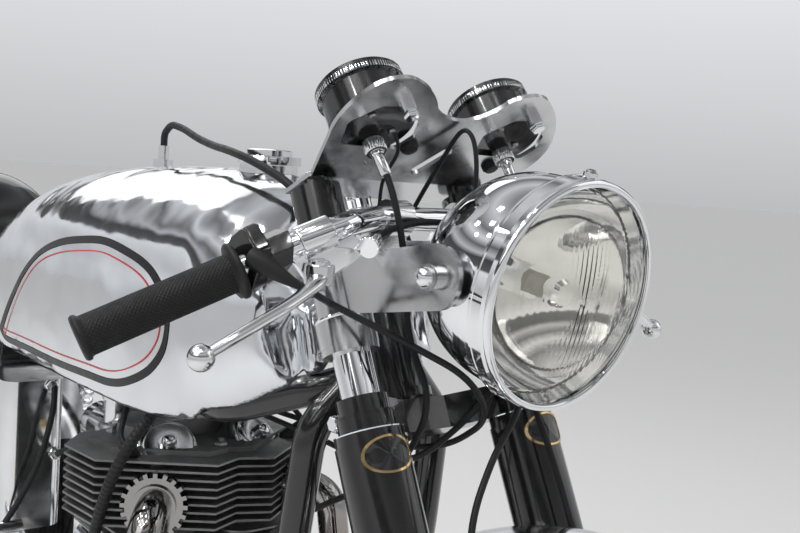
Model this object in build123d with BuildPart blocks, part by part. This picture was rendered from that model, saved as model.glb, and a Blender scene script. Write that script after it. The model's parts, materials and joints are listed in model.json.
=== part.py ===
from build123d import *
import os
from math import cos, hypot, radians, sin, sqrt, tan

# A cafe racer motorcycle on its centre stand, steering straight ahead.
# Millimetres and degrees. X points forward, Y to the rider's left, Z up.
# The origin is on the ground, half way between the ends of the two tyres.

os.makedirs("parts", exist_ok=True)

SIDES = (-1, 1)

# Wheels
FRONT_AXLE_X = 709.0
FRONT_AXLE_Z = 330.0
REAR_AXLE_X = -701.0
REAR_AXLE_Z = 363.0
FRONT_TYRE_R = 330.0
REAR_TYRE_R = 338.0
BEAD_R = 246.0
SPOKES_PER_FLANGE = 20
SPOKE_R = 2.0
SPOKE_LEAN = 24.0
HUB_DRUM_R = 98.0
HUB_FLANGE_R = 108.0
AXLE_R = 8.5
HUB_BORE_R = 10.0

# Fork, measured in its own frame: u forward of the legs, y left, s up the legs from the axle
RAKE = 26.0
LEG_Y = 93.65
STEM_U = -63.0
STANCHION_R = 17.45
COVER_R = 31.75
SLIDER_R = 27.0
CAP_R = 23.5
LOWER_YOKE_S = (446.0, 477.0)
HEAD_S = (481.0, 597.0)
TOP_YOKE_S = (603.0, 622.0)
CAP_S = (631.0, 673.0)
HEAD_TUBE_R = 31.0
STEM_R = 14.0
STEERING_LOCK = 27.0

# Handlebar: one bent tube, its ends swept back and down
BAR_R = 11.0
GRIP_IN = Vector(471, -205, 868)
GRIP_OUT = Vector(434, -325, 810)
BAR_BEND = Vector(497, -120, 909)
BAR_CLAMP_Y = 62.0
BAR_U = 39.0
BAR_S = 631.0
GRIP_R = 16.5

# Headlamp, pointing ten degrees down
LAMP_CENTRE = Vector(645.8, 0, 863.6)
LAMP_DIP = 10.0
LAMP_GLASS_R = 91.5
LAMP_RIM_R = 98.0
LAMP_NECK_R = 90.0
LAMP_DEPTH = 136.0
LAMP_BOLT_T = -53.0

# Instruments
GAUGE_TILT = 36.0
GAUGE_Y = 80.0
GAUGE_V = 70.0
GAUGE_CAN_R = 37.5
GAUGE_BEZEL_R = 40.5
GAUGE_BEZEL_H = 49.0
GAUGE_PLATE_T = 4.0

# Frame tubes
TUBE_R = 15.9
LOOP_Y = 125.0
RAIL_Y = 100.0
RAIL_Z = 706.0
CRADLE_Z = 176.0
REAR_LOOP_X = -300.0
SUBFRAME_R = 11.0
SWINGARM_PIVOT = (-230.0, 330.0)
ARM_Y = 92.0
ARM_R = 14.0
SHOCK_Y = 131.0

# Engine
CRANK_X = 84.0
CRANK_Z = 318.0
BARREL_X = 78.0
BARREL_Z = (430.0, 532.0)
HEAD_Z = (532.0, 612.0)
PORT = (139.0, 94.0, 563.0)
PORT_TURN = 36.0
CHAIN_Y = 66.0
CARB_Y = 36.0
CARB_Z = 592.0
GEARBOX_X = -98.0
GEARBOX_Z = 335.0
PIPE_R = 19.0

# Tank
FILLER_X = 191.0
LID_HINGE = (151.0, 961.5)

# Centre stand
STAND_PIVOT = (-205.0, 142.0)
STAND_FOOT_X = -182.0
STAND_SWING = 75.0

up_leg = Vector(-sin(radians(RAKE)), 0, cos(radians(RAKE)))
fwd_leg = Vector(cos(radians(RAKE)), 0, sin(radians(RAKE)))
FORK = Plane(origin=(FRONT_AXLE_X, 0, FRONT_AXLE_Z), x_dir=fwd_leg, z_dir=up_leg)
BOTH_LEGS = [(0, side * LEG_Y) for side in SIDES]


def on_fork(u, y, s):
    """The point u forward of the legs, y left and s up them, in the bike's own frame."""
    return FORK.from_local_coords(Vector(u, y, s))


def fork_side(u, y):
    """A plane across the bike at a line parallel to the legs: its x is forward, its y up the leg."""
    return Plane(origin=on_fork(u, y, 0), x_dir=fwd_leg, z_dir=(0, -1, 0))


def side_plane(y):
    """The bike's side view at a given y: x forward, y up."""
    return Plane(origin=(0, y, 0), x_dir=(1, 0, 0), z_dir=(0, -1, 0))


def along(start, end):
    """A plane at start, facing end."""
    return Plane(origin=start, z_dir=Vector(*end) - Vector(*start))


def add_rod(start, end, radius):
    """Adds a straight round bar between two points."""
    with BuildSketch(along(start, end)) as section:
        Circle(radius)
    extrude(section.sketch, amount=(Vector(*end) - Vector(*start)).length)


def add_tube(points, bends, radius):
    """Adds a bent round bar through points, with a list of bend radii, one for each corner."""
    with BuildLine(mode=Mode.PRIVATE) as path:
        FilletPolyline(*points, radius=bends)
    with BuildSketch(Plane(origin=path.line @ 0, z_dir=path.line % 0)) as section:
        Circle(radius)
    sweep(section.sketch, path=path.line)


def add_turned(plane_at, rows):
    """Adds stepped round pieces: rows of (low, high, radius) along the plane's normal."""
    for low, high, radius in rows:
        with BuildSketch(plane_at.offset(low)) as section:
            Circle(radius)
        extrude(section.sketch, amount=high - low)


def wide_bends(points):
    """An arc radius for each corner of a cable: as wide as its two runs allow."""
    bends = []
    for before, corner, after in zip(points, points[1:], points[2:]):
        arriving = Vector(*corner) - Vector(*before)
        leaving = Vector(*after) - Vector(*corner)
        half_turn = radians(arriving.get_angle(leaving)) / 2
        bends.append(0.45 * min(arriving.length, leaving.length) / tan(half_turn))
    return bends


def add_cable(points, radius):
    """Adds a cable and prints the radii of its bends."""
    bends = wide_bends(points)
    print("cable bends", [round(bend) for bend in bends])
    add_tube(points, bends, radius)


# Wheels

def wheel_section(axle_x, axle_z):
    """A plane through an axle for turned profiles: x is the radius, y is across the bike."""
    return Plane(origin=(axle_x, 0, axle_z), x_dir=(1, 0, 0), z_dir=(0, 0, 1))


def add_tyre(axle_x, axle_z, tyre_r, half_width):
    """Adds a round-section tyre that sits on the rim's bead seats."""
    shoulder = (tyre_r - 17, half_width * 0.8)
    wall = (tyre_r - 46, half_width)
    with BuildSketch(wheel_section(axle_x, axle_z)) as section:
        with BuildLine():
            Line((BEAD_R, -24), (BEAD_R, 24))
            ThreePointArc((BEAD_R, 24), wall, shoulder)
            ThreePointArc(shoulder, (tyre_r, 0), (shoulder[0], -shoulder[1]))
            ThreePointArc((shoulder[0], -shoulder[1]), (wall[0], -wall[1]), (BEAD_R, -24))
        make_face()
    revolve(section.sketch, axis=Axis((axle_x, 0, axle_z), (0, 1, 0)))


def add_rim(axle_x, axle_z, flange_y):
    """Adds a flanged rim with a dropped centre."""
    half = [(254, flange_y), (254, flange_y + 3.5), (241, flange_y + 3.5), (230, 14)]
    inner = [(238, 10), (245.5, 22), (245.5, flange_y)]
    outline = half + [(r, -y) for r, y in reversed(half)]
    outline += [(r, -y) for r, y in reversed(inner)] + inner
    with BuildSketch(wheel_section(axle_x, axle_z)) as section:
        with BuildLine():
            Polyline(*outline, close=True)
        make_face()
    revolve(section.sketch, axis=Axis((axle_x, 0, axle_z), (0, 1, 0)))


def add_spokes(axle_x, axle_z, flange_y):
    """Adds spokes that lean forward and back by turns from each hub flange to the rim."""
    step = 360 / SPOKES_PER_FLANGE
    planes = []
    length = 0.0
    for side in SIDES:
        for count in range(SPOKES_PER_FLANGE):
            lean = SPOKE_LEAN if count % 2 else -SPOKE_LEAN
            hub_angle = radians(count * step + (step / 2 if side > 0 else 0))
            rim_angle = hub_angle + radians(lean)
            hub_y = side * (flange_y + (2.5 if count % 2 else -2.5))
            hub_r = HUB_FLANGE_R - 4
            start = Vector(axle_x + hub_r * cos(hub_angle), hub_y, axle_z + hub_r * sin(hub_angle))
            rim_y = side * 8
            end = Vector(axle_x + 234 * cos(rim_angle), rim_y, axle_z + 234 * sin(rim_angle))
            planes.append(Plane(origin=start, z_dir=end - start))
            length = max(length, (end - start).length)
    with BuildSketch(*planes) as section:
        RegularPolygon(SPOKE_R, 6)
    extrude(section.sketch, amount=length)


def add_hub(axle_x, axle_z, flange_y, low_y, high_y):
    """Adds a drum hub with two spoke flanges and a bore for its axle."""
    outline = [
        (HUB_BORE_R, low_y),
        (HUB_DRUM_R - 12, low_y),
        (HUB_DRUM_R, -flange_y - 4),
        (HUB_FLANGE_R, -flange_y - 4),
        (HUB_FLANGE_R, -flange_y + 4),
        (HUB_DRUM_R, -flange_y + 8),
        (HUB_DRUM_R, flange_y - 8),
        (HUB_FLANGE_R, flange_y - 4),
        (HUB_FLANGE_R, flange_y + 4),
        (HUB_DRUM_R, flange_y + 4),
        (HUB_DRUM_R - 12, high_y),
        (HUB_BORE_R, high_y),
    ]
    with BuildSketch(wheel_section(axle_x, axle_z)) as section:
        with BuildLine():
            Polyline(*outline, close=True)
        make_face()
    revolve(section.sketch, axis=Axis((axle_x, 0, axle_z), (0, 1, 0)))


with BuildPart() as front_tyre:
    add_tyre(FRONT_AXLE_X, FRONT_AXLE_Z, FRONT_TYRE_R, 42)
front_tyre.part.label = "front_tyre"
export_step(front_tyre.part, "parts/front_tyre.step")

with BuildPart() as front_rim:
    add_rim(FRONT_AXLE_X, FRONT_AXLE_Z, 32.5)
    add_hub(FRONT_AXLE_X, FRONT_AXLE_Z, 32, -42, 46)
    add_spokes(FRONT_AXLE_X, FRONT_AXLE_Z, 32)
front_rim.part.label = "front_rim"
export_step(front_rim.part, "parts/front_rim.step")

with BuildPart() as rear_tyre:
    add_tyre(REAR_AXLE_X, REAR_AXLE_Z, REAR_TYRE_R, 47)
rear_tyre.part.label = "rear_tyre"
export_step(rear_tyre.part, "parts/rear_tyre.step")

SPROCKET_R = 88.0
with BuildPart() as rear_rim:
    add_rim(REAR_AXLE_X, REAR_AXLE_Z, 36.0)
    add_hub(REAR_AXLE_X, REAR_AXLE_Z, 32, -46, 50)
    add_spokes(REAR_AXLE_X, REAR_AXLE_Z, 32)
    with BuildSketch(side_plane(CHAIN_Y + 2.5)):
        with Locations((REAR_AXLE_X, REAR_AXLE_Z)):
            Circle(SPROCKET_R)
            Circle(HUB_BORE_R, mode=Mode.SUBTRACT)
    extrude(amount=5)
    with BuildSketch(side_plane(CHAIN_Y - 2.5)):
        with Locations((REAR_AXLE_X, REAR_AXLE_Z)):
            Circle(50)
            Circle(HUB_BORE_R, mode=Mode.SUBTRACT)
    extrude(amount=CHAIN_Y - 2.5 - 50)
rear_rim.part.label = "rear_rim"
export_step(rear_rim.part, "parts/rear_rim.step")

# Fork

with BuildPart() as stanchions:
    with BuildSketch(FORK.offset(240)):
        with Locations(*BOTH_LEGS):
            Circle(STANCHION_R)
    extrude(amount=CAP_S[0] - 240)
stanchions.part.label = "stanchions"
export_step(stanchions.part, "parts/stanchions.step")

with BuildPart() as fork_sliders:
    for low, high, radius in ((-24, -16, 19), (-16, 24, 25), (24, 225, SLIDER_R), (225, 240, 25)):
        with BuildSketch(FORK.offset(low)):
            with Locations(*BOTH_LEGS):
                Circle(radius)
        extrude(amount=high - low)
    add_rod((FRONT_AXLE_X, -124, FRONT_AXLE_Z), (FRONT_AXLE_X, 124, FRONT_AXLE_Z), AXLE_R)
fork_sliders.part.label = "fork_sliders"
export_step(fork_sliders.part, "parts/fork_sliders.step")

COVER_ROWS = (
    # low, high, outer radius
    (205, 212, COVER_R + 1.5),
    (212, 437, COVER_R),
    (437, 446, COVER_R - 1.2),
)
with BuildPart() as fork_covers:
    for low, high, radius in COVER_ROWS:
        with BuildSketch(FORK.offset(low)):
            with Locations(*BOTH_LEGS):
                Circle(radius)
                Circle(SLIDER_R + 0.6, mode=Mode.SUBTRACT)
        extrude(amount=high - low)
    with BuildSketch(FORK.offset(434)):
        with Locations(*BOTH_LEGS):
            Circle(COVER_R - 1.2)
            Circle(STANCHION_R, mode=Mode.SUBTRACT)
    extrude(amount=12)
fork_covers.part.label = "fork_covers"
export_step(fork_covers.part, "parts/fork_covers.step")

with BuildPart() as lower_yoke:
    low, high = LOWER_YOKE_S
    with BuildSketch(FORK.offset(low)):
        with BuildLine():
            outline = [(-76, -28), (-76, 28), (-6, LEG_Y + 14), (12, LEG_Y - 8)]
            outline += [(-26, 26), (-26, -26), (12, 8 - LEG_Y), (-6, -LEG_Y - 14)]
            Polyline(*outline, close=True)
        make_face()
        with Locations(*BOTH_LEGS):
            Circle(26)
        with Locations((STEM_U, 0)):
            Circle(31)
        with Locations(*BOTH_LEGS):
            Circle(STANCHION_R, mode=Mode.SUBTRACT)
    extrude(amount=high - low)
    with BuildSketch(FORK.offset(462)):
        with Locations(*BOTH_LEGS):
            Circle(27)
            Circle(23, mode=Mode.SUBTRACT)
    extrude(amount=high - 462, mode=Mode.SUBTRACT)
    with BuildSketch(FORK.offset(high)):
        with Locations((STEM_U, 0)):
            Circle(STEM_R)
    extrude(amount=TOP_YOKE_S[0] - high)
lower_yoke.part.label = "lower_yoke"
export_step(lower_yoke.part, "parts/lower_yoke.step")

with BuildPart() as top_yoke:
    low, high = TOP_YOKE_S
    with BuildSketch(FORK.offset(low)):
        with BuildLine():
            outline = [(-88, -22), (-88, 22), (-26, LEG_Y + 8), (16, LEG_Y + 18), (22, LEG_Y - 14)]
            outline += [(8, 40), (8, -40), (22, 14 - LEG_Y), (16, -LEG_Y - 18), (-26, -LEG_Y - 8)]
            Polyline(*outline, close=True)
        make_face()
        with Locations(*BOTH_LEGS):
            Circle(27)
        with Locations(*BOTH_LEGS):
            Circle(STANCHION_R, mode=Mode.SUBTRACT)
    extrude(amount=high - low)
    for side in SIDES:
        with BuildSketch(fork_side(0, side * 42 + 11)):
            with BuildLine():
                Polyline((-14, low), (12, low), (BAR_U, BAR_S - 17), (BAR_U, BAR_S + 17), (-14, high), close=True)
            make_face()
            with Locations((BAR_U, BAR_S)):
                Circle(17)
                Circle(BAR_R, mode=Mode.SUBTRACT)
        extrude(amount=22)
    STEM_ROWS = (
        # low, high, radius of the stem's top nut, from the yoke up
        (622, 630, 21),
        (630, 652, 12),
        (652, 662, 17),
        (662, 680, 13),
        (680, 694, 15.5),
    )
    for low, high, radius in STEM_ROWS:
        with BuildSketch(FORK.offset(low)):
            with Locations((STEM_U, 0)):
                Circle(radius)
        extrude(amount=high - low)
top_yoke.part.label = "top_yoke"
export_step(top_yoke.part, "parts/top_yoke.step")

with BuildPart() as fork_caps:
    with BuildSketch(FORK.offset(TOP_YOKE_S[1])):
        with Locations(*BOTH_LEGS):
            Circle(21)
            Circle(STANCHION_R, mode=Mode.SUBTRACT)
    extrude(amount=CAP_S[0] - TOP_YOKE_S[1])
    with BuildSketch(FORK.offset(CAP_S[0])):
        with Locations(*BOTH_LEGS):
            Circle(CAP_R)
    extrude(amount=CAP_S[1] - CAP_S[0])
    with BuildSketch(FORK.offset(CAP_S[1])):
        with Locations(*BOTH_LEGS):
            Circle(15)
    extrude(amount=680 - CAP_S[1])
fork_caps.part.label = "fork_caps"
export_step(fork_caps.part, "parts/fork_caps.step")

# Headlamp on its ears

lamp_axis = Vector(cos(radians(LAMP_DIP)), 0, -sin(radians(LAMP_DIP)))
LAMP = Plane(origin=LAMP_CENTRE, x_dir=(0, 1, 0), z_dir=lamp_axis)
LAMP_SECTION = Plane(origin=LAMP_CENTRE, x_dir=(0, 1, 0), z_dir=LAMP.y_dir * -1)


def on_lamp(t, y, h):
    """The point t along the lamp's axis, y left of it and h above it."""
    return LAMP_CENTRE + lamp_axis * t + Vector(0, y, 0) + Vector(sin(radians(LAMP_DIP)), 0, cos(radians(LAMP_DIP))) * h


EAR_Y = 98.0
with BuildPart() as headlamp_ears:
    for low, high, radius in ((517, 523, 26), (523, 547, 26.5), (547, 602.5, 23)):
        with BuildSketch(FORK.offset(low)):
            with Locations(*BOTH_LEGS):
                Circle(radius)
                Circle(STANCHION_R, mode=Mode.SUBTRACT)
        extrude(amount=high - low)
    bolt = on_lamp(LAMP_BOLT_T, 0, 2.5)
    for side in SIDES:
        start_y = side * EAR_Y + (0 if side < 0 else 5)
        with BuildSketch(side_plane(start_y)):
            with BuildLine():
                corners = [on_fork(18, 0, 602), on_fork(18, 0, 549)]
                tip_up = bolt + Vector(-6, 0, 26)
                tip_low = bolt + Vector(6, 0, -26)
                Polyline(
                    (corners[0].X, corners[0].Z), (corners[1].X, corners[1].Z),
                    (tip_low.X, tip_low.Z), (tip_up.X, tip_up.Z), close=True,
                )
            make_face()
            with Locations((bolt.X, bolt.Z)):
                Circle(26.5)
        extrude(amount=5)
        head = side * (EAR_Y + 5)
        add_rod((bolt.X, head, bolt.Z), (bolt.X, head + side * 7, bolt.Z), 9)
headlamp_ears.part.label = "headlamp_ears"
export_step(headlamp_ears.part, "parts/headlamp_ears.step")

# The bowl is part of a ball whose centre lies on the lamp's axis
SHELL_T = 2.5
bowl_h = LAMP_DEPTH - 20
bowl_r = (LAMP_NECK_R**2 + bowl_h**2) / (2 * bowl_h)
inner_neck_r = sqrt((bowl_r - SHELL_T) ** 2 - (bowl_h - bowl_r) ** 2)
with BuildPart() as headlamp_shell:
    with BuildSketch(LAMP_SECTION):
        with BuildLine():
            # radius, distance behind the lens as negative
            Polyline((LAMP_GLASS_R + 0.3, 4), (LAMP_RIM_R, -4), (LAMP_RIM_R, -14), (LAMP_NECK_R, -20))
            RadiusArc((LAMP_NECK_R, -20), (0, -LAMP_DEPTH), bowl_r)
            Line((0, -LAMP_DEPTH), (0, -LAMP_DEPTH + SHELL_T))
            RadiusArc((0, -LAMP_DEPTH + SHELL_T), (inner_neck_r, -20), -(bowl_r - SHELL_T))
            Polyline((inner_neck_r, -20), (LAMP_GLASS_R + 0.3, -8), (LAMP_GLASS_R + 0.3, 4))
        make_face()
    revolve(axis=Axis(LAMP_CENTRE, lamp_axis))
    bolt = on_lamp(LAMP_BOLT_T, 0, 2.5)
    for side in SIDES:
        add_rod((bolt.X, side * 80, bolt.Z), (bolt.X, side * EAR_Y, bolt.Z), 13)
headlamp_shell.part.label = "headlamp_shell"
export_step(headlamp_shell.part, "parts/headlamp_shell.step")

with BuildPart() as headlamp_glass:
    with BuildSketch(LAMP_SECTION):
        with BuildLine():
            # a domed lens with a flat rim that sits inside the lamp's rim
            Line((0, 14), (0, 18))
            RadiusArc((0, 18), (LAMP_GLASS_R, 0), (LAMP_GLASS_R**2 + 18**2) / 36)
            Polyline((LAMP_GLASS_R, 0), (LAMP_GLASS_R, -4), (88, -4))
            RadiusArc((88, -4), (0, 14), -(88**2 + 18**2) / 36)
        make_face()
    revolve(axis=Axis(LAMP_CENTRE, lamp_axis))
headlamp_glass.part.label = "headlamp_glass"
export_step(headlamp_glass.part, "parts/headlamp_glass.step")

with BuildPart() as lamp_reflector:
    with BuildSketch(LAMP_SECTION):
        with BuildLine():
            Line((85, -22), (86.3, -22))
            ThreePointArc((86.3, -22), (55, -62), (16, -76))
            Polyline((16, -76), (16, -92), (6, -92), (6, -40), (14, -40), (14, -72))
            ThreePointArc((14, -72), (54, -59), (85, -22))
        make_face()
    revolve(axis=Axis(LAMP_CENTRE, lamp_axis))
lamp_reflector.part.label = "lamp_reflector"
export_step(lamp_reflector.part, "parts/lamp_reflector.step")

# Instruments on their plate, seen from the gauge plate's bend line

tilt = radians(GAUGE_TILT)
BEND_U = 14.0
PLATE_S = CAP_S[1] + 7
bend_point = on_fork(BEND_U, 0, PLATE_S)
GAUGE = Plane(origin=bend_point, x_dir=(cos(tilt), 0, sin(tilt)), z_dir=(-sin(tilt), 0, cos(tilt)))


def on_gauge(v, y, h):
    """The point v along the gauge plate from its bend, y left and h above the plate's lower face."""
    return GAUGE.from_local_coords(Vector(v, y, h))


# The plate's edge as (v, y): straight runs and arcs through a middle point, round from the bend
BRACKET_EDGE = (
    ((0, 118), (0, -106)),
    ((0, -106), (59, -124)),
    ((59, -124), (96, -130), (128, -122)),
    ((128, -122), (141, -107), (143, -89)),
    ((143, -89), (134, -66), (113, -41)),
    ((113, -41), (100, -18), (99, 5)),
    ((99, 5), (112, 23), (130, 32)),
    ((130, 32), (143, 49), (142, 73)),
    ((142, 73), (122, 103), (88, 132)),
    ((88, 132), (63, 142), (38, 141)),
    ((38, 141), (0, 118)),
)
BRACKET_WINDOW = ((50, -106), (80, -118), (106, -98), (108, -80), (90, -44), (68, -35), (50, -42))
WINDOW_SHIFT = (3, 158)
PLATE_BOLTS = ((112, -76), (116, 77))
DRIVE_NUTS = ((60, -78), (63, 80.5))
with BuildPart() as gauge_bracket:
    with BuildSketch(GAUGE):
        with BuildLine():
            for run in BRACKET_EDGE:
                if len(run) == 2:
                    Line(*run)
                else:
                    ThreePointArc(*run)
        make_face()
        for shift_v, shift_y in ((0, 0), WINDOW_SHIFT):
            with BuildSketch(mode=Mode.PRIVATE) as window:
                with BuildLine():
                    Polyline(*[(v + shift_v, y + shift_y) for v, y in BRACKET_WINDOW], close=True)
                make_face()
                fillet(window.vertices(), 8)
            add(window.sketch, mode=Mode.SUBTRACT)
        with Locations((36.5, 10.5)):
            SlotOverall(46, 14, rotation=24, mode=Mode.SUBTRACT)
    extrude(amount=GAUGE_PLATE_T)
    with BuildSketch(FORK.offset(PLATE_S)):
        with Locations((BEND_U - 20.5, 0)):
            Rectangle(41, 216)
        with Locations(*BOTH_LEGS):
            Circle(6, mode=Mode.SUBTRACT)
    extrude(amount=GAUGE_PLATE_T)
    for bolt_v, bolt_y in PLATE_BOLTS:
        add_rod(on_gauge(bolt_v, bolt_y, -9), on_gauge(bolt_v, bolt_y, 0), 7)
gauge_bracket.part.label = "gauge_bracket"
export_step(gauge_bracket.part, "parts/gauge_bracket.step")

with BuildPart() as gauges:
    for side in SIDES:
        centre = GAUGE.offset(GAUGE_PLATE_T)
        for low, high, radius in (
            (0, GAUGE_BEZEL_H - 11, GAUGE_CAN_R),
            (GAUGE_BEZEL_H - 11, GAUGE_BEZEL_H - 2, GAUGE_BEZEL_R),
            (GAUGE_BEZEL_H - 2, GAUGE_BEZEL_H, GAUGE_BEZEL_R - 2),
        ):
            with BuildSketch(centre.offset(low)):
                with Locations((GAUGE_V, side * GAUGE_Y)):
                    Circle(radius)
            extrude(amount=high - low)
    for nut_v, nut_y in DRIVE_NUTS:
        add_rod(on_gauge(nut_v, nut_y, -14), on_gauge(nut_v, nut_y, GAUGE_PLATE_T), 9)
gauges.part.label = "gauges"
export_step(gauges.part, "parts/gauges.step")

# Handlebar and controls


grip_line = (GRIP_OUT - GRIP_IN).normalized()


def on_grip(side, distance):
    """The point on the bar's end run, measured outward from the grip's inner end."""
    point = GRIP_IN + grip_line * distance
    return Vector(point.X, side * -point.Y, point.Z)


def grip_plane(side, distance):
    """A plane across the bar's end run, facing outward."""
    toward = on_grip(side, distance + 1) - on_grip(side, distance)
    return Plane(origin=on_grip(side, distance), x_dir=(0, 0, 1), z_dir=toward)


GRIP_LENGTH = (GRIP_OUT - GRIP_IN).length
BAR_CENTRE = on_fork(BAR_U, 0, BAR_S)
with BuildPart() as handlebar:
    right_end = GRIP_IN + grip_line * (GRIP_LENGTH - 5)
    add_tube(
        [
            right_end,
            BAR_BEND,
            (BAR_CENTRE.X, -BAR_CLAMP_Y, BAR_CENTRE.Z),
            (BAR_CENTRE.X, BAR_CLAMP_Y, BAR_CENTRE.Z),
            (BAR_BEND.X, -BAR_BEND.Y, BAR_BEND.Z),
            (right_end.X, -right_end.Y, right_end.Z),
        ],
        [34, 28, 28, 34],
        BAR_R,
    )
handlebar.part.label = "handlebar"
export_step(handlebar.part, "parts/handlebar.step")

GRIP_ROWS = (
    # start and end from the grip's inner end, radius
    (0, 6, 24),
    (6, 128, GRIP_R),
    (128, 137, GRIP_R + 2.5),
)
with BuildPart() as grips:
    for side in SIDES:
        for low, high, radius in GRIP_ROWS:
            with BuildSketch(grip_plane(side, low)):
                Circle(radius)
            extrude(amount=high - low)
    add(handlebar.part, mode=Mode.SUBTRACT)
grips.part.label = "grips"
export_step(grips.part, "parts/grips.step")

with BuildPart() as bar_controls:
    for low, high, radius in ((-36, -1, 25), (-40, -36, 20)):
        with BuildSketch(grip_plane(-1, low)):
            Circle(radius)
        extrude(amount=high - low)
    for side in SIDES:
        with BuildSketch(grip_plane(side, -74)):
            Circle(17)
        extrude(amount=26)
        pivot = Vector(505, side * 150, 868)
        add_rod(on_grip(side, -61), pivot, 9)
        with BuildSketch(Plane(origin=pivot - Vector(0, 0, 9), z_dir=(0, 0, 1))):
            Circle(14)
        extrude(amount=18)
    add(handlebar.part, mode=Mode.SUBTRACT)
bar_controls.part.label = "bar_controls"
export_step(bar_controls.part, "parts/bar_controls.step")

LEVER_POINTS = ((519, -164, 861), (533, -200, 846), (536, -240, 827), (531, -271, 810))
with BuildPart() as hand_levers:
    for side in SIDES:
        points = [Vector(x, side * -y, z) for x, y, z in LEVER_POINTS]
        add_tube(points, [60, 80], 5.5)
        with Locations(points[-1]):
            Sphere(11)
hand_levers.part.label = "hand_levers"
export_step(hand_levers.part, "parts/hand_levers.step")

# Front mudguard and brake plate

GUARD_FRONT_R = (344.0, 347.0)
GUARD_FRONT_TURN = radians(62)
with BuildPart() as front_mudguard:
    inner_r, outer_r = GUARD_FRONT_R
    guard_section = Plane(
        origin=(FRONT_AXLE_X, 0, FRONT_AXLE_Z),
        x_dir=(cos(GUARD_FRONT_TURN), 0, sin(GUARD_FRONT_TURN)),
        z_dir=Vector(-sin(GUARD_FRONT_TURN), 0, cos(GUARD_FRONT_TURN)),
    )
    with BuildSketch(guard_section):
        with BuildLine():
            ThreePointArc((inner_r - 14, -53), (inner_r, 0), (inner_r - 14, 53))
            Line((inner_r - 14, 53), (outer_r - 14, 55))
            ThreePointArc((outer_r - 14, 55), (outer_r, 0), (outer_r - 14, -55))
            Line((outer_r - 14, -55), (inner_r - 14, -53))
        make_face()
    revolve(axis=Axis((FRONT_AXLE_X, 0, FRONT_AXLE_Z), (0, -1, 0)), revolution_arc=105)
    for side in SIDES:
        # a bridge stay inside the leg, from the guard's edge down to a lug, and a long stay behind
        stay_top = on_fork(0, side * 53, 334)
        stay_low = on_fork(0, side * 54, 176)
        add_rod(stay_top, stay_low, 4)
        add_rod(stay_low, on_fork(0, side * 74, 176), 6)
        add_rod(on_fork(-6, side * 72, 62), (409, side * 54, 470), 4)
    add(fork_sliders.part, mode=Mode.SUBTRACT)
front_mudguard.part.label = "front_mudguard"
export_step(front_mudguard.part, "parts/front_mudguard.step")

with BuildPart() as front_brake_plate:
    with BuildSketch(side_plane(-50)):
        with Locations((FRONT_AXLE_X, FRONT_AXLE_Z)):
            Circle(84)
            Circle(AXLE_R, mode=Mode.SUBTRACT)
    extrude(amount=7)
    with BuildSketch(side_plane(-57)):
        with Locations((FRONT_AXLE_X, FRONT_AXLE_Z)):
            Circle(22)
            Circle(AXLE_R, mode=Mode.SUBTRACT)
    extrude(amount=9)
front_brake_plate.part.label = "front_brake_plate"
export_step(front_brake_plate.part, "parts/front_brake_plate.step")

# Frame

with BuildPart() as steering_head:
    low, high = HEAD_S
    for start, end, radius in ((low, low + 9, 34), (low + 9, high - 9, HEAD_TUBE_R), (high - 9, high, 34)):
        with BuildSketch(FORK.offset(start)):
            with Locations((STEM_U, 0)):
                Circle(radius)
                Circle(STEM_R + 1.5, mode=Mode.SUBTRACT)
        extrude(amount=end - start)
steering_head.part.label = "steering_head"
export_step(steering_head.part, "parts/steering_head.step")

# Each side's loop: from the head back along the rail, and from the head down round the engine
KNEE = Vector(410, 79, 712)
SHIN = Vector(397, 83, 596)
TOE = Vector(300, LOOP_Y, CRADLE_Z)
FOOT = SHIN + (TOE - SHIN) * 0.7
RAIL_ROUTE = ((424, 8, 764), (392, 62, 744), (290, RAIL_Y, RAIL_Z), (REAR_LOOP_X, RAIL_Y, RAIL_Z))
DOWN_ROUTE = ((419, 10, 782), tuple(KNEE), tuple(SHIN), tuple(FOOT))
CRADLE_ROUTE = (tuple(FOOT), tuple(TOE), (-270, LOOP_Y, CRADLE_Z))
UPRIGHT_ROUTE = (
    (REAR_LOOP_X, RAIL_Y, RAIL_Z),
    (-362, RAIL_Y, RAIL_Z),
    (-352, LOOP_Y, 560),
    (-318, LOOP_Y, CRADLE_Z),
    (-270, LOOP_Y, CRADLE_Z),
)


def on_side(side, route):
    """A route drawn for the left side, put on either side."""
    return [(x, side * y, z) for x, y, z in route]


def cut_head():
    """Cuts the tubes' ends to the round of the steering head."""
    with BuildSketch(FORK.offset(HEAD_S[0])) as section:
        with Locations((STEM_U, 0)):
            Circle(HEAD_TUBE_R)
    extrude(section.sketch, amount=HEAD_S[1] - HEAD_S[0], mode=Mode.SUBTRACT)
    add(steering_head.part, mode=Mode.SUBTRACT)


with BuildPart() as top_rails:
    for side in SIDES:
        add_tube(on_side(side, RAIL_ROUTE), [40, 110], TUBE_R)
    cut_head()
top_rails.part.label = "top_rails"
export_step(top_rails.part, "parts/top_rails.step")

with BuildPart() as down_tubes:
    for side in SIDES:
        add_tube(on_side(side, DOWN_ROUTE), [60, 260], TUBE_R)
    cut_head()
    add(top_rails.part, mode=Mode.SUBTRACT)
down_tubes.part.label = "down_tubes"
export_step(down_tubes.part, "parts/down_tubes.step")

with BuildPart() as cradle_rails:
    for side in SIDES:
        add_tube(on_side(side, CRADLE_ROUTE), [80], TUBE_R)
    for cross_x in (250, -225):
        add_rod((cross_x, -LOOP_Y, CRADLE_Z), (cross_x, LOOP_Y, CRADLE_Z), 12)
cradle_rails.part.label = "cradle_rails"
export_step(cradle_rails.part, "parts/cradle_rails.step")

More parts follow.
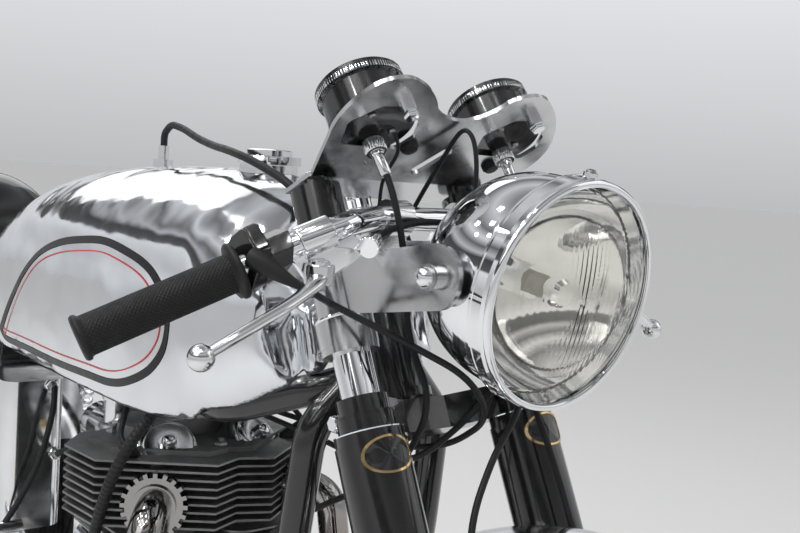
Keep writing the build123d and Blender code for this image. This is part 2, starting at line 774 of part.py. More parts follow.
with BuildPart() as rear_uprights:
    for side in SIDES:
        add_tube(on_side(side, UPRIGHT_ROUTE), [42, 110, 30], TUBE_R)
    add_rod((-357, -108, 650), (-357, 108, 650), 11)
rear_uprights.part.label = "rear_uprights"
export_step(rear_uprights.part, "parts/rear_uprights.step")

with BuildPart() as rear_subframe:
    for side in SIDES:
        add_rod((-352, side * 102, 700), (-830, side * 98, 724), SUBFRAME_R)
        add_rod((-340, side * 122, 470), (-560, side * 108, 703), SUBFRAME_R)
        add_rod((-540, side * 100, 708), (-540, side * 150, 708), 8)
    add_rod((-820, -98, 724), (-820, 98, 724), 9)
    add(rear_uprights.part, mode=Mode.SUBTRACT)
rear_subframe.part.label = "rear_subframe"
export_step(rear_subframe.part, "parts/rear_subframe.step")

SHOCK_LOW = (-640, SHOCK_Y, 372)
SHOCK_HIGH = (-540, SHOCK_Y, 708)
SHOCK_ROWS = (
    # start and end along the shock, radius
    (20, 60, 22),
    (60, 68, 30),
    (68, 275, 12),
    (275, 320, 28),
)
pivot_x, pivot_z = SWINGARM_PIVOT
with BuildPart() as swingarm:
    add_rod((pivot_x, -ARM_Y - 14, pivot_z), (pivot_x, ARM_Y + 14, pivot_z), 22)
    add_rod((pivot_x, -122, pivot_z), (pivot_x, 122, pivot_z), 10)
    for side in SIDES:
        add_rod((pivot_x, side * ARM_Y, pivot_z), (REAR_AXLE_X - 20, side * ARM_Y, REAR_AXLE_Z), ARM_R)
        add_rod((SHOCK_LOW[0], side * ARM_Y, SHOCK_LOW[2]), (SHOCK_LOW[0], side * 150, SHOCK_LOW[2]), 8)
    add_rod((REAR_AXLE_X, -128, REAR_AXLE_Z), (REAR_AXLE_X, 128, REAR_AXLE_Z), AXLE_R)
swingarm.part.label = "swingarm"
export_step(swingarm.part, "parts/swingarm.step")

with BuildPart() as rear_shocks:
    for side in SIDES:
        shock_line = Vector(SHOCK_HIGH[0] - SHOCK_LOW[0], 0, SHOCK_HIGH[2] - SHOCK_LOW[2])
        shock = Plane(origin=(SHOCK_LOW[0], side * SHOCK_Y, SHOCK_LOW[2]), x_dir=(0, 1, 0), z_dir=shock_line)
        add_turned(shock, SHOCK_ROWS)
        for end_x, end_z in ((SHOCK_LOW[0], SHOCK_LOW[2]), (SHOCK_HIGH[0], SHOCK_HIGH[2])):
            with BuildSketch(side_plane(side * SHOCK_Y + 13)):
                with Locations((end_x, end_z)):
                    Circle(23)
            extrude(amount=26)
        for turn in range(11):
            coil = shock.from_local_coords(Vector(0, 0, 78 + turn * 18))
            with BuildSketch(Plane(origin=coil, x_dir=(0, 1, 0), z_dir=Vector(0, 1, 0).cross(shock.z_dir))):
                with Locations((24, 0)):
                    Circle(4.5)
                with Locations((17, 0)):
                    Rectangle(14, 3)
            revolve(axis=Axis(shock.origin, shock.z_dir))
    add(swingarm.part, mode=Mode.SUBTRACT)
    add(rear_subframe.part, mode=Mode.SUBTRACT)
rear_shocks.part.label = "rear_shocks"
export_step(rear_shocks.part, "parts/rear_shocks.step")

# Engine


def belt_outline(near, near_r, far, far_r):
    """The four points where the outer tangents touch two circles, in order round the belt."""
    gap = hypot(far[0] - near[0], far[1] - near[1])
    lean = (far_r - near_r) / gap
    rise = sqrt(1 - lean * lean)
    ux = (far[0] - near[0]) / gap
    uz = (far[1] - near[1]) / gap
    points = []
    for turn, ends in ((1, ((near, near_r), (far, far_r))), (-1, ((far, far_r), (near, near_r)))):
        nx = -lean * ux - turn * rise * uz
        nz = -lean * uz + turn * rise * ux
        points += [(centre[0] + nx * radius, centre[1] + nz * radius) for centre, radius in ends]
    return points


def draw_belt(near, near_r, far, far_r, mode=Mode.ADD):
    """Draws two circles and the strip between their outer tangents."""
    with BuildSketch(mode=Mode.PRIVATE) as shape:
        with Locations(near):
            Circle(near_r)
        with Locations(far):
            Circle(far_r)
        with BuildLine():
            Polyline(*belt_outline(near, near_r, far, far_r), close=True)
        make_face()
    add(shape.sketch, mode=mode)


with BuildPart() as crankcase:
    with BuildSketch(side_plane(62)):
        with Locations((CRANK_X, CRANK_Z)):
            Circle(104)
        with Locations((BARREL_X, 395)):
            Rectangle(172, 70)
        with Locations((CRANK_X, CRANK_Z - 70)):
            Rectangle(150, 90)
    extrude(amount=124)
    with BuildSketch(Plane.XY.offset(BARREL_Z[0] - 3)):
        with Locations((BARREL_X, 0)):
            RectangleRounded(150, 200, 20)
    extrude(amount=5)
crankcase.part.label = "crankcase"
export_step(crankcase.part, "parts/crankcase.step")

CRANK_SPOT = (CRANK_X, CRANK_Z)
GEAR_SPOT = (GEARBOX_X, GEARBOX_Z)
IDLER_SPOT = (CRANK_X + 62, CRANK_Z + 66)
with BuildPart() as engine_covers:
    # the long primary case on the left, with a raised ring, and the timing cover on the right
    with BuildSketch(side_plane(106)):
        draw_belt(CRANK_SPOT, 78, GEAR_SPOT, 92)
    extrude(amount=28)
    with BuildSketch(side_plane(113)):
        draw_belt(CRANK_SPOT, 71, GEAR_SPOT, 85)
    extrude(amount=7)
    with BuildSketch(side_plane(78)):
        with Locations(CRANK_SPOT):
            Circle(60)
    extrude(amount=16)
    with BuildSketch(side_plane(-62)):
        draw_belt(CRANK_SPOT, 74, IDLER_SPOT, 42)
    extrude(amount=24)
    with BuildSketch(side_plane(-86)):
        draw_belt(CRANK_SPOT, 66, IDLER_SPOT, 34)
    extrude(amount=6)
engine_covers.part.label = "engine_covers"
export_step(engine_covers.part, "parts/engine_covers.step")

with BuildPart() as cylinder_block:
    low, high = BARREL_Z
    with BuildSketch(Plane.XY.offset(low + 2)):
        with Locations((BARREL_X, -48), (BARREL_X, 48)):
            Circle(50)
        with Locations((BARREL_X, 0)):
            Rectangle(60, 150)
    extrude(amount=high - low - 2)
    for fin in range(9):
        with BuildSketch(Plane.XY.offset(low + 6 + fin * 9.7)):
            with Locations((BARREL_X, -56), (BARREL_X, 56)):
                RectangleRounded(150, 116, 34)
        extrude(amount=2.6)
cylinder_block.part.label = "cylinder_block"
export_step(cylinder_block.part, "parts/cylinder_block.step")

# The head in plan, x and y of its left half: a valley between two corners, then faces that slant back
FIN_PLAN = ((163, 0), (180, 38), (98, 150), (22, 154), (-22, 116), (-22, 30), (-8, 0))
CORE_PLAN = ((138, 0), (146, 30), (78, 122), (26, 126), (-6, 96), (-6, 0))
FIN_PITCH = 9.4
FIN_T = 2.6


def draw_plan(half):
    """Draws a plan outline from its left half, the same on both sides of the bike."""
    with BuildSketch(mode=Mode.PRIVATE) as shape:
        with BuildLine():
            Polyline(*half, *[(x, -y) for x, y in reversed(half) if y > 0], close=True)
        make_face()
    add(shape.sketch)


port_x, port_y, port_z = PORT
COVER_LINE = Vector(0.66, 0.30, 0.69)
with BuildPart() as cylinder_head:
    low, high = HEAD_Z
    with BuildSketch(Plane.XY.offset(low)):
        draw_plan(CORE_PLAN)
    extrude(amount=high + 6 - low)
    for fin in range(9):
        with BuildSketch(Plane.XY.offset(high - FIN_T - fin * FIN_PITCH)):
            draw_plan(FIN_PLAN)
        extrude(amount=FIN_T)
    for side in SIDES:
        # exhaust boss, rocker box with its round cover, intake stub
        outward = Vector(cos(radians(PORT_TURN)), side * sin(radians(PORT_TURN)), 0)
        face = Vector(port_x, side * port_y, port_z)
        add_rod(face - outward * 60, face, 30)
        box_low = Vector(46, side * 62, 600)
        add_rod(box_low, box_low + Vector(0, 0, 36), 34)
        line = Vector(COVER_LINE.X, side * COVER_LINE.Y, COVER_LINE.Z).normalized()
        cover = Vector(96, side * 58, 610)
        add_rod(cover - line * 34, cover, 38)
        add_rod(cover, cover + line * 7, 35)
        add_rod(cover + line * 7, cover + line * 16, 29)
        add_rod(cover + line * 16, cover + line * 25, 9)
        add_rod((0, side * CARB_Y, CARB_Z), (-42, side * CARB_Y, CARB_Z), 21)
    with BuildSketch(Plane.XY.offset(606)):
        with Locations((34, 0)):
            RectangleRounded(64, 150, 16)
    extrude(amount=32)
    add(cylinder_block.part, mode=Mode.SUBTRACT)
cylinder_head.part.label = "cylinder_head"
export_step(cylinder_head.part, "parts/cylinder_head.step")

with BuildPart() as carburettors:
    for side in SIDES:
        with BuildSketch(Plane(origin=(-42, side * CARB_Y, CARB_Z), x_dir=(0, 1, 0), z_dir=(-1, 0, 0))):
            RectangleRounded(60, 44, 10)
        extrude(amount=8)
        add_rod((-50, side * CARB_Y, CARB_Z), (-118, side * CARB_Y, CARB_Z), 23)
        add_rod((-118, side * CARB_Y, CARB_Z), (-136, side * CARB_Y, CARB_Z), 30)
        add_rod((-84, side * CARB_Y, CARB_Z - 60), (-84, side * CARB_Y, CARB_Z + 44), 19)
        add_rod((-84, side * CARB_Y, CARB_Z - 62), (-84, side * CARB_Y, CARB_Z - 34), 27)
        add_rod((-84, side * CARB_Y, CARB_Z + 44), (-84, side * CARB_Y, CARB_Z + 54), 22)
carburettors.part.label = "carburettors"
export_step(carburettors.part, "parts/carburettors.step")

with BuildPart() as gearbox:
    with BuildSketch(side_plane(52)):
        with Locations((GEARBOX_X - 2, GEARBOX_Z)):
            RectangleRounded(146, 160, 40)
    extrude(amount=122)
    with BuildSketch(side_plane(-70)):
        with Locations((GEARBOX_X - 2, GEARBOX_Z)):
            RectangleRounded(128, 142, 34)
    extrude(amount=14)
    with BuildSketch(side_plane(CHAIN_Y + 2.5)):
        with Locations(GEAR_SPOT):
            Circle(33)
    extrude(amount=CHAIN_Y + 2.5 - 52)
    # the kick starter: its shaft, a bent crank and a folding pedal
    add_rod((GEARBOX_X - 40, -84, GEARBOX_Z - 20), (GEARBOX_X - 40, -112, GEARBOX_Z - 20), 12)
    add_tube(
        [
            (GEARBOX_X - 40, -106, GEARBOX_Z - 20),
            (GEARBOX_X - 58, -110, GEARBOX_Z + 50),
            (GEARBOX_X - 62, -138, GEARBOX_Z + 120),
        ],
        [40],
        7,
    )
    add_rod((GEARBOX_X - 62, -132, GEARBOX_Z + 120), (GEARBOX_X - 62, -200, GEARBOX_Z + 120), 9)
    add(crankcase.part, mode=Mode.SUBTRACT)
gearbox.part.label = "gearbox"
export_step(gearbox.part, "parts/gearbox.step")

with BuildPart() as engine_plates:
    for side in SIDES:
        with BuildSketch(side_plane(68 if side > 0 else -62)):
            with BuildLine():
                Polyline((172, 384), (352, 392), (338, 300), (176, 262), close=True)
            make_face()
            with Locations((256, 330)):
                Circle(26, mode=Mode.SUBTRACT)
        extrude(amount=6)
        with BuildSketch(side_plane(116 if side > 0 else -110)):
            with BuildLine():
                Polyline((-196, 392), (-196, 280), (-262, 180), (-326, 180), (-345, 400), (-270, 430), close=True)
            make_face()
            with Locations((-270, 250)):
                Circle(22, mode=Mode.SUBTRACT)
        extrude(amount=6)
    for bolt_x, bolt_z in ((342, 362), (333, 322)):
        add_rod((bolt_x, -126, bolt_z), (bolt_x, 126, bolt_z), 6)
    for bolt_x, bolt_z in ((-214, 372), (-212, 304)):
        add_rod((bolt_x, -122, bolt_z), (bolt_x, 122, bolt_z), 6)
    add(crankcase.part, mode=Mode.SUBTRACT)
    add(engine_covers.part, mode=Mode.SUBTRACT)
    add(down_tubes.part, mode=Mode.SUBTRACT)
    add(cradle_rails.part, mode=Mode.SUBTRACT)
    add(rear_uprights.part, mode=Mode.SUBTRACT)
    add(swingarm.part, mode=Mode.SUBTRACT)
engine_plates.part.label = "engine_plates"
export_step(engine_plates.part, "parts/engine_plates.step")

SILENCER_Y = 176.0
PIPE_ROUTE = (
    (139, 94, 563),
    (180, 124, 562),
    (178, 140, 480),
    (164, 158, 330),
    (130, 172, 208),
    (40, SILENCER_Y, 200),
    (-160, SILENCER_Y, 200),
)
ROSE_R = 33.0
COG_COUNT = 20
with BuildPart() as exhaust_pipes:
    for side in SIDES:
        add_tube(on_side(side, PIPE_ROUTE), [32, 140, 300, 70, 300], PIPE_R)
        # the cogged ring that clamps the pipe in its port
        outward = Vector(cos(radians(PORT_TURN)), side * sin(radians(PORT_TURN)), 0)
        rose = Plane(origin=Vector(port_x, side * port_y, port_z), x_dir=(0, 0, 1), z_dir=outward)
        with BuildSketch(rose):
            Circle(ROSE_R)
            with PolarLocations(ROSE_R + 1, COG_COUNT):
                Rectangle(8, 5)
        extrude(amount=9)
        with BuildSketch(rose.offset(9)):
            Circle(25)
        extrude(amount=5)
    add(cylinder_head.part, mode=Mode.SUBTRACT)
exhaust_pipes.part.label = "exhaust_pipes"
export_step(exhaust_pipes.part, "parts/exhaust_pipes.step")

SILENCER_ROWS = (
    # distance behind the pipe's end, outer radius
    (0, 20.5),
    (40, 21),
    (380, 44),
    (440, 44),
    (500, 30),
)
SILENCER_RISE = 7.0
SILENCER_LENGTH = 500.0
OUTLET_R = 24.0
OUTLET_DEPTH = 30.0
silencer_line = Vector(-cos(radians(SILENCER_RISE)), 0, sin(radians(SILENCER_RISE)))
with BuildPart() as silencers:
    for side in SIDES:
        start = Vector(-160, side * SILENCER_Y, 200)
        # this plane's x is the radius and its y the distance toward the outlet
        turned = Plane(origin=start, x_dir=(0, 1, 0), z_dir=Vector(0, 1, 0).cross(silencer_line))
        with BuildSketch(turned):
            with BuildLine():
                outline = [(radius, distance) for distance, radius in SILENCER_ROWS]
                outline += [(OUTLET_R, SILENCER_LENGTH), (OUTLET_R, SILENCER_LENGTH - OUTLET_DEPTH)]
                Polyline((0, 0), *outline, (0, SILENCER_LENGTH - OUTLET_DEPTH), close=True)
            make_face()
        revolve(axis=Axis(start, silencer_line))
    add(exhaust_pipes.part, mode=Mode.SUBTRACT)
silencers.part.label = "silencers"
export_step(silencers.part, "parts/silencers.step")

with BuildPart() as drive_chain:
    with BuildSketch(side_plane(CHAIN_Y + 7)):
        draw_belt(GEAR_SPOT, 44, (REAR_AXLE_X, REAR_AXLE_Z), 101)
        draw_belt(GEAR_SPOT, 35, (REAR_AXLE_X, REAR_AXLE_Z), 92, mode=Mode.SUBTRACT)
    extrude(amount=14)
drive_chain.part.label = "drive_chain"
export_step(drive_chain.part, "parts/drive_chain.step")

# Tank, seat and tail


def draw_shell(low, high, widest, foot, waist):
    """Draws a tank-like section: a flat foot, bulging sides and an elliptical top."""
    with BuildLine() as outline:
        Line((-foot, low), (foot, low))
        ThreePointArc((foot, low), (widest * 0.985, (low + waist) / 2), (widest, waist))
        EllipticalCenterArc((0, waist), widest, high - waist, start_angle=0, arc_size=180)
        ThreePointArc((-widest, waist), (-widest * 0.985, (low + waist) / 2), (-foot, low))
    make_face(outline.edges())


TANK_ROWS = (
    # x, bottom z, top z, half width at the widest, half width at the bottom, height of the widest
    (-394, 712, 846, 98, 84, 770),
    (-360, 700, 882, 119, 104, 772),
    (-290, 692, 914, 137, 123, 776),
    (-180, 690, 936, 150, 136, 780),
    (-40, 690, 948, 158, 144, 784),
    (90, 690, 951, 160, 146, 785),
    (220, 694, 948, 152, 134, 790),
    (310, 722, 925, 132, 106, 805),
    (366, 762, 884, 106, 84, 820),
    (404, 782, 846, 84, 66, 816),
)
TUNNEL_Z = 725.0
TUNNEL_Y = 118.0
YOKE_CUT_U = STEM_U - 32
LOBE_R = 78.0
with BuildPart() as fuel_tank:
    for x, low, high, widest, foot, waist in TANK_ROWS:
        with BuildSketch(Plane(origin=(x, 0, 0), x_dir=(0, 1, 0), z_dir=(1, 0, 0))):
            draw_shell(low, high, widest, foot, waist)
    loft()
    # a tunnel along the bottom for the frame's two rails
    with BuildSketch(side_plane(TUNNEL_Y)):
        with BuildLine():
            tunnel = [(-420, 660), (-420, TUNNEL_Z), (286, TUNNEL_Z), (340, 748), (420, 790), (420, 660)]
            Polyline(*tunnel, close=True)
        make_face()
    extrude(amount=2 * TUNNEL_Y, mode=Mode.SUBTRACT)
    # behind the yokes' sweep the tank ends at a plane, and between them two lobes reach round the head
    for start, end in ((300, 484), (593, 800)):
        with BuildSketch(FORK.offset(start)):
            with Locations((YOKE_CUT_U + 150, 0)):
                Rectangle(300, 400)
        extrude(amount=end - start, mode=Mode.SUBTRACT)
    with BuildSketch(FORK.offset(484)):
        with Locations((STEM_U - 42 + 150, 0)):
            Rectangle(300, 400)
        with Locations((STEM_U, 0)):
            Circle(LOBE_R, mode=Mode.SUBTRACT)
        with Locations((STEM_U - 6 + 150, 0)):
            Rectangle(300, 400)
    extrude(amount=593 - 484, mode=Mode.SUBTRACT)
    with BuildSketch(FORK.offset(400)):
        with Locations((STEM_U, 0)):
            Circle(42)
    extrude(amount=300, mode=Mode.SUBTRACT)
fuel_tank.part.label = "fuel_tank"
export_step(fuel_tank.part, "parts/fuel_tank.step")

with BuildPart() as tank_fittings:
    with BuildSketch(Plane.XY.offset(930)):
        with Locations((FILLER_X, 0)):
            Circle(33)
            Circle(24, mode=Mode.SUBTRACT)
        with Locations((-62, 0)):
            Circle(13)
    extrude(amount=26)
    add_rod((-62, 0, 956), (-62, 0, 974), 7)
    add(fuel_tank.part, mode=Mode.SUBTRACT)
tank_fittings.part.label = "tank_fittings"
export_step(tank_fittings.part, "parts/tank_fittings.step")

hinge_x, hinge_z = LID_HINGE
with BuildPart() as filler_lid:
    with BuildSketch(Plane.XY.offset(957)):
        with Locations((FILLER_X, 0)):
            Circle(35)
        with Locations((hinge_x + 7, 0)):
            Rectangle(14, 24)
        with Locations((FILLER_X + 40, 0)):
            Rectangle(22, 16)
    extrude(amount=9)
    add_rod((hinge_x, -15, hinge_z), (hinge_x, 15, hinge_z), 4.5)
    with BuildSketch(Plane.XY.offset(966)):
        with Locations((FILLER_X, 0)):
            Circle(26)
    extrude(amount=6)
filler_lid.part.label = "filler_lid"
export_step(filler_lid.part, "parts/filler_lid.step")

HUMP_ROWS = (
    # x, bottom z, top z, half width at the widest, half width at the bottom, height of the widest
    (-590, 742, 806, 98, 90, 768),
    (-625, 742, 880, 108, 96, 788),
    (-700, 742, 917, 113, 98, 800),
    (-790, 748, 906, 106, 90, 806),
    (-858, 762, 868, 88, 70, 802),
    (-884, 776, 838, 68, 50, 800),
)
SEAT_FRONT_X = -400.0
with BuildPart() as seat_shell:
    for x, low, high, widest, foot, waist in HUMP_ROWS:
        with BuildSketch(Plane(origin=(x, 0, 0), x_dir=(0, 1, 0), z_dir=(1, 0, 0))):
            draw_shell(low, high, widest, foot, waist)
    loft()
    with BuildSketch(Plane.XY.offset(738)):
        with Locations(((SEAT_FRONT_X - 620) / 2, 0)):
            RectangleRounded(SEAT_FRONT_X + 620, 200, 24)
    extrude(amount=18)
seat_shell.part.label = "seat_shell"
export_step(seat_shell.part, "parts/seat_shell.step")

with BuildPart() as seat_pad:
    with BuildSketch(side_plane(97)):
        with BuildLine():
            Polyline((-402, 757), (-400, 800), (-450, 806), (-560, 812), (-586, 826), (-588, 757), close=True)
        make_face()
    extrude(amount=194)
    add(seat_shell.part, mode=Mode.SUBTRACT)
seat_pad.part.label = "seat_pad"
export_step(seat_pad.part, "parts/seat_pad.step")

with BuildPart() as side_tanks:
    for side in SIDES:
        with BuildSketch(Plane.XY.offset(440)):
            with Locations((-240, side * 108)):
                RectangleRounded(116, 84, 20)
        extrude(amount=206)
side_tanks.part.label = "side_tanks"
export_step(side_tanks.part, "parts/side_tanks.step")

GUARD_REAR_R = (351.0, 354.0)
GUARD_REAR_TURN = radians(24)
with BuildPart() as rear_mudguard:
    inner_r, outer_r = GUARD_REAR_R
    guard_section = Plane(
        origin=(REAR_AXLE_X, 0, REAR_AXLE_Z),
        x_dir=(cos(GUARD_REAR_TURN), 0, sin(GUARD_REAR_TURN)),
        z_dir=Vector(-sin(GUARD_REAR_TURN), 0, cos(GUARD_REAR_TURN)),
    )
    with BuildSketch(guard_section):
        with BuildLine():
            ThreePointArc((inner_r - 12, -58), (inner_r, 0), (inner_r - 12, 58))
            Line((inner_r - 12, 58), (outer_r - 12, 60))
            ThreePointArc((outer_r - 12, 60), (outer_r, 0), (outer_r - 12, -60))
            Line((outer_r - 12, -60), (inner_r - 12, -58))
        make_face()
    revolve(axis=Axis((REAR_AXLE_X, 0, REAR_AXLE_Z), (0, -1, 0)), revolution_arc=124)
    for side in SIDES:
        add_rod((-800, side * 56, 700), (-800, side * 92, 724), 5)
    add(rear_subframe.part, mode=Mode.SUBTRACT)
rear_mudguard.part.label = "rear_mudguard"
export_step(rear_mudguard.part, "parts/rear_mudguard.step")

with BuildPart() as tail_lamp:
    add_rod((-872, 0, 800), (-906, 0, 800), 30)
    add_rod((-906, 0, 800), (-912, 0, 800), 26)
    add(seat_shell.part, mode=Mode.SUBTRACT)
tail_lamp.part.label = "tail_lamp"
export_step(tail_lamp.part, "parts/tail_lamp.step")

with BuildPart() as foot_controls:
    for side in SIDES:
        with BuildSketch(side_plane(148 if side > 0 else -141)):
            with BuildLine():
                Polyline((-356, 372), (-312, 372), (-296, 318), (-318, 300), (-352, 306), close=True)
            make_face()
        extrude(amount=7)
        add_rod((-318, side * 148, 318), (-318, side * 235, 318), 11)
        add_rod((-318, side * 160, 318), (-218, side * 166, 300), 6)
        add_rod((-218, side * 160, 300), (-218, side * 205, 300), 8)
    add(rear_uprights.part, mode=Mode.SUBTRACT)
foot_controls.part.label = "foot_controls"
export_step(foot_controls.part, "parts/foot_controls.step")

stand_x, stand_z = STAND_PIVOT
with BuildPart() as centre_stand:
    add_rod((stand_x, -104, stand_z), (stand_x, 104, stand_z), 12)
    for side in SIDES:
        add_rod((stand_x, side * 96, stand_z), (STAND_FOOT_X, side * 138, 12), 12)
        with BuildSketch(Plane.XY):
            with Locations((STAND_FOOT_X, side * 140)):
                RectangleRounded(60, 34, 10)
        extrude(amount=14)
    add_rod((STAND_FOOT_X - 4, -124, 60), (STAND_FOOT_X - 4, 124, 60), 9)
centre_stand.part.label = "centre_stand"
export_step(centre_stand.part, "parts/centre_stand.step")

# Cables, each held at both ends

CABLE_R = 3.0
TACHO_ROUTE = (
    tuple(on_gauge(*DRIVE_NUTS[0], -15)),
    (500, -76, 944),
    (510, -72, 912),
    (504, -54, 864),
    (486, -34, 810),
    (526, -34, 756),
    (508, -42, 702),
    (458, -48, 662),
    (400, -50, 630),
    (340, -56, 594),
    (280, -62, 540),
    (226, -58, 470),
    (184, -54, 416),
)
THROTTLE_ROUTE = (
    (486, -155, 857),
    (499, -138, 845),
    (514, -114, 832),
    (540, -78, 812),
    (564, -26, 784),
    (548, 18, 740),
    (486, 30, 700),
    (420, 30, 682),
    (340, 26, 676),
    (250, 22, 675),
    (160, 8, 678),
    (70, -12, 678),
    (-10, -28, 676),
    (-70, -36, 666),
    (-86, -36, 649),
)
CLUTCH_ROUTE = (
    (506, 132, 859),
    (511, 116, 840),
    (536, 80, 812),
    (548, 36, 780),
    (530, 8, 738),
    (478, 0, 688),
    (400, 4, 664),
    (310, 8, 668),
    (220, 6, 670),
    (130, 12, 671),
    (40, 4, 666),
    (-60, 0, 658),
    (-130, 0, 614),
    (-158, 2, 530),
    (-150, 4, 450),
    (-140, 6, 415),
)
BRAKE_ROUTE = (
    (520, -112, 892),
    (499, -80, 904),
    (491, -30, 914),
    (498, 24, 912),
    (516, 62, 886),
    (528, 74, 838),
    (556, 52, 790),
    (586, 14, 756),
    (600, -28, 726),
    (610, -60, 678),
    (626, -70, 606),
    (650, -70, 540),
    (684, -70, 470),
    (716, -66, 412),
)
SPEEDO_ROUTE = (
    tuple(on_gauge(*DRIVE_NUTS[1], -15)),
    (503, 79, 944),
    (512, 73, 912),
    (506, 66, 868),
    (520, 62, 816),
    (552, 62, 764),
    (586, 65, 706),
    (614, 68, 646),
    (642, 70, 580),
    (668, 69, 510),
    (690, 67, 440),
    (704, 64, 380),
)
with BuildPart() as crossing_cables:
    for route in (TACHO_ROUTE, THROTTLE_ROUTE, CLUTCH_ROUTE):
        add_cable(route, CABLE_R)
crossing_cables.part.label = "crossing_cables"
export_step(crossing_cables.part, "parts/crossing_cables.step")

with BuildPart() as fork_cables:
    for route in (BRAKE_ROUTE, SPEEDO_ROUTE):
        add_cable(route, CABLE_R)
fork_cables.part.label = "fork_cables"
export_step(fork_cables.part, "parts/fork_cables.step")

BREATHER_ROUTE = (
    (-62, 0, 974),
    (-62, 0, 990),
    (-40, -2, 1002),
    (0, -6, 996),
    (50, -14, 984),
    (110, -26, 975),
    (176, -46, 970),
    (240, -54, 960),
    (300, -50, 941),
    (336, -44, 918),
)
with BuildPart() as breather_hose:
    add_cable(BREATHER_ROUTE, 4.5)
    add(tank_fittings.part, mode=Mode.SUBTRACT)
breather_hose.part.label = "breather_hose"
export_step(breather_hose.part, "parts/breather_hose.step")
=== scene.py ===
"""The looks of a cafe racer motorcycle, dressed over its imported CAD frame.

Places are in the machine's own frame: X forward, Y to the rider's left, Z up. Vectors and frames are in
metres, and sizes and tables are in millimetres where no comment says otherwise.
"""

import json
import logging
import math
from collections.abc import Callable
from dataclasses import dataclass, field
from enum import Enum
from functools import cache

import bmesh
import bpy
from mathutils import Matrix, Vector
from mathutils.bvhtree import BVHTree

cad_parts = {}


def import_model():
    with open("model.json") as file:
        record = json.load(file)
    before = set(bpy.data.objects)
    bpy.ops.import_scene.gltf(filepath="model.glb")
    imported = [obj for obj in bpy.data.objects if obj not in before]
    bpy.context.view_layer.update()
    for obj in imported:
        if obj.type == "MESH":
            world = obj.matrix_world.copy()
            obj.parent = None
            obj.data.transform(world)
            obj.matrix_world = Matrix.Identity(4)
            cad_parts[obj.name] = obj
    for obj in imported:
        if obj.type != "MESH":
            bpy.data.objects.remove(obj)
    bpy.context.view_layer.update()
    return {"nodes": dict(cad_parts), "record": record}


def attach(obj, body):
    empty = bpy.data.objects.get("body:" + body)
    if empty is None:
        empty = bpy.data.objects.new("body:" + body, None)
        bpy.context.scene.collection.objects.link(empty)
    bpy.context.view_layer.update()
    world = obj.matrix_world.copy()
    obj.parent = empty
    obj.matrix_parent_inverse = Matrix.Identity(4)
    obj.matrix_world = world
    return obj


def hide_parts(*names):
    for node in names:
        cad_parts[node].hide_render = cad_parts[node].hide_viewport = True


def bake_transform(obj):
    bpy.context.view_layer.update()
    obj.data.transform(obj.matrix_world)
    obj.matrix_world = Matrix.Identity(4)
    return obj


log = logging.getLogger("motorcycle")

TURN = 2 * math.pi
SIDES = (-1, 1)
AHEAD, LEFT, UP = (Vector(axis) for axis in ((1, 0, 0), (0, 1, 0), (0, 0, 1)))

Pair = tuple[float, float]
Point = tuple[float, float, float]
Rows = tuple[Pair, ...] | list[Pair]
Wave = Callable[[float, int], float]
Socket = bpy.types.NodeSocket


def mm(*place: float) -> Vector:
    """Gives a place in metres from its millimetres."""
    return Vector(place) / 1000


def held(x: float, y: float, z: float) -> Vector:
    """Makes a dataclass field that holds a vector in metres."""
    return field(default_factory=lambda: Vector((x, y, z)))


def turns(steps: int) -> list[float]:
    """Gives even angles round a circle."""
    return [step * TURN / steps for step in range(steps)]


def circle(radius: float, steps: int, height: float = 0.0) -> list[Point]:
    """Gives points round a circle."""
    return [(radius * math.cos(turn), radius * math.sin(turn), height) for turn in turns(steps)]


def tilted(angle: float) -> tuple[Vector, Vector]:
    """Gives the directions ahead and above, turned up by an angle."""
    return Vector((math.cos(angle), 0, math.sin(angle))), Vector((-math.sin(angle), 0, math.cos(angle)))


def ease(value: float, start: float, end: float) -> float:
    """Gives 0 before start, 1 after end and a smooth step between."""
    t = max(0.0, min(1.0, (value - start) / (end - start)))
    return t * t * (3 - 2 * t)


def knurl(depth: float, teeth: int, *rows: int) -> Wave:
    """Gives a wave that raises square teeth on some rows."""
    return lambda angle, row: depth if row in rows and math.sin(angle * teeth) > 0 else 0.0


# Finishes


class Body(Enum):
    """The moving bodies of the machine that a piece can ride on."""

    FRAME = "frame"
    STEERING = "steering"
    FRONT_WHEEL = "front_wheel"
    REAR_WHEEL = "rear_wheel"
    LID = "filler_lid"


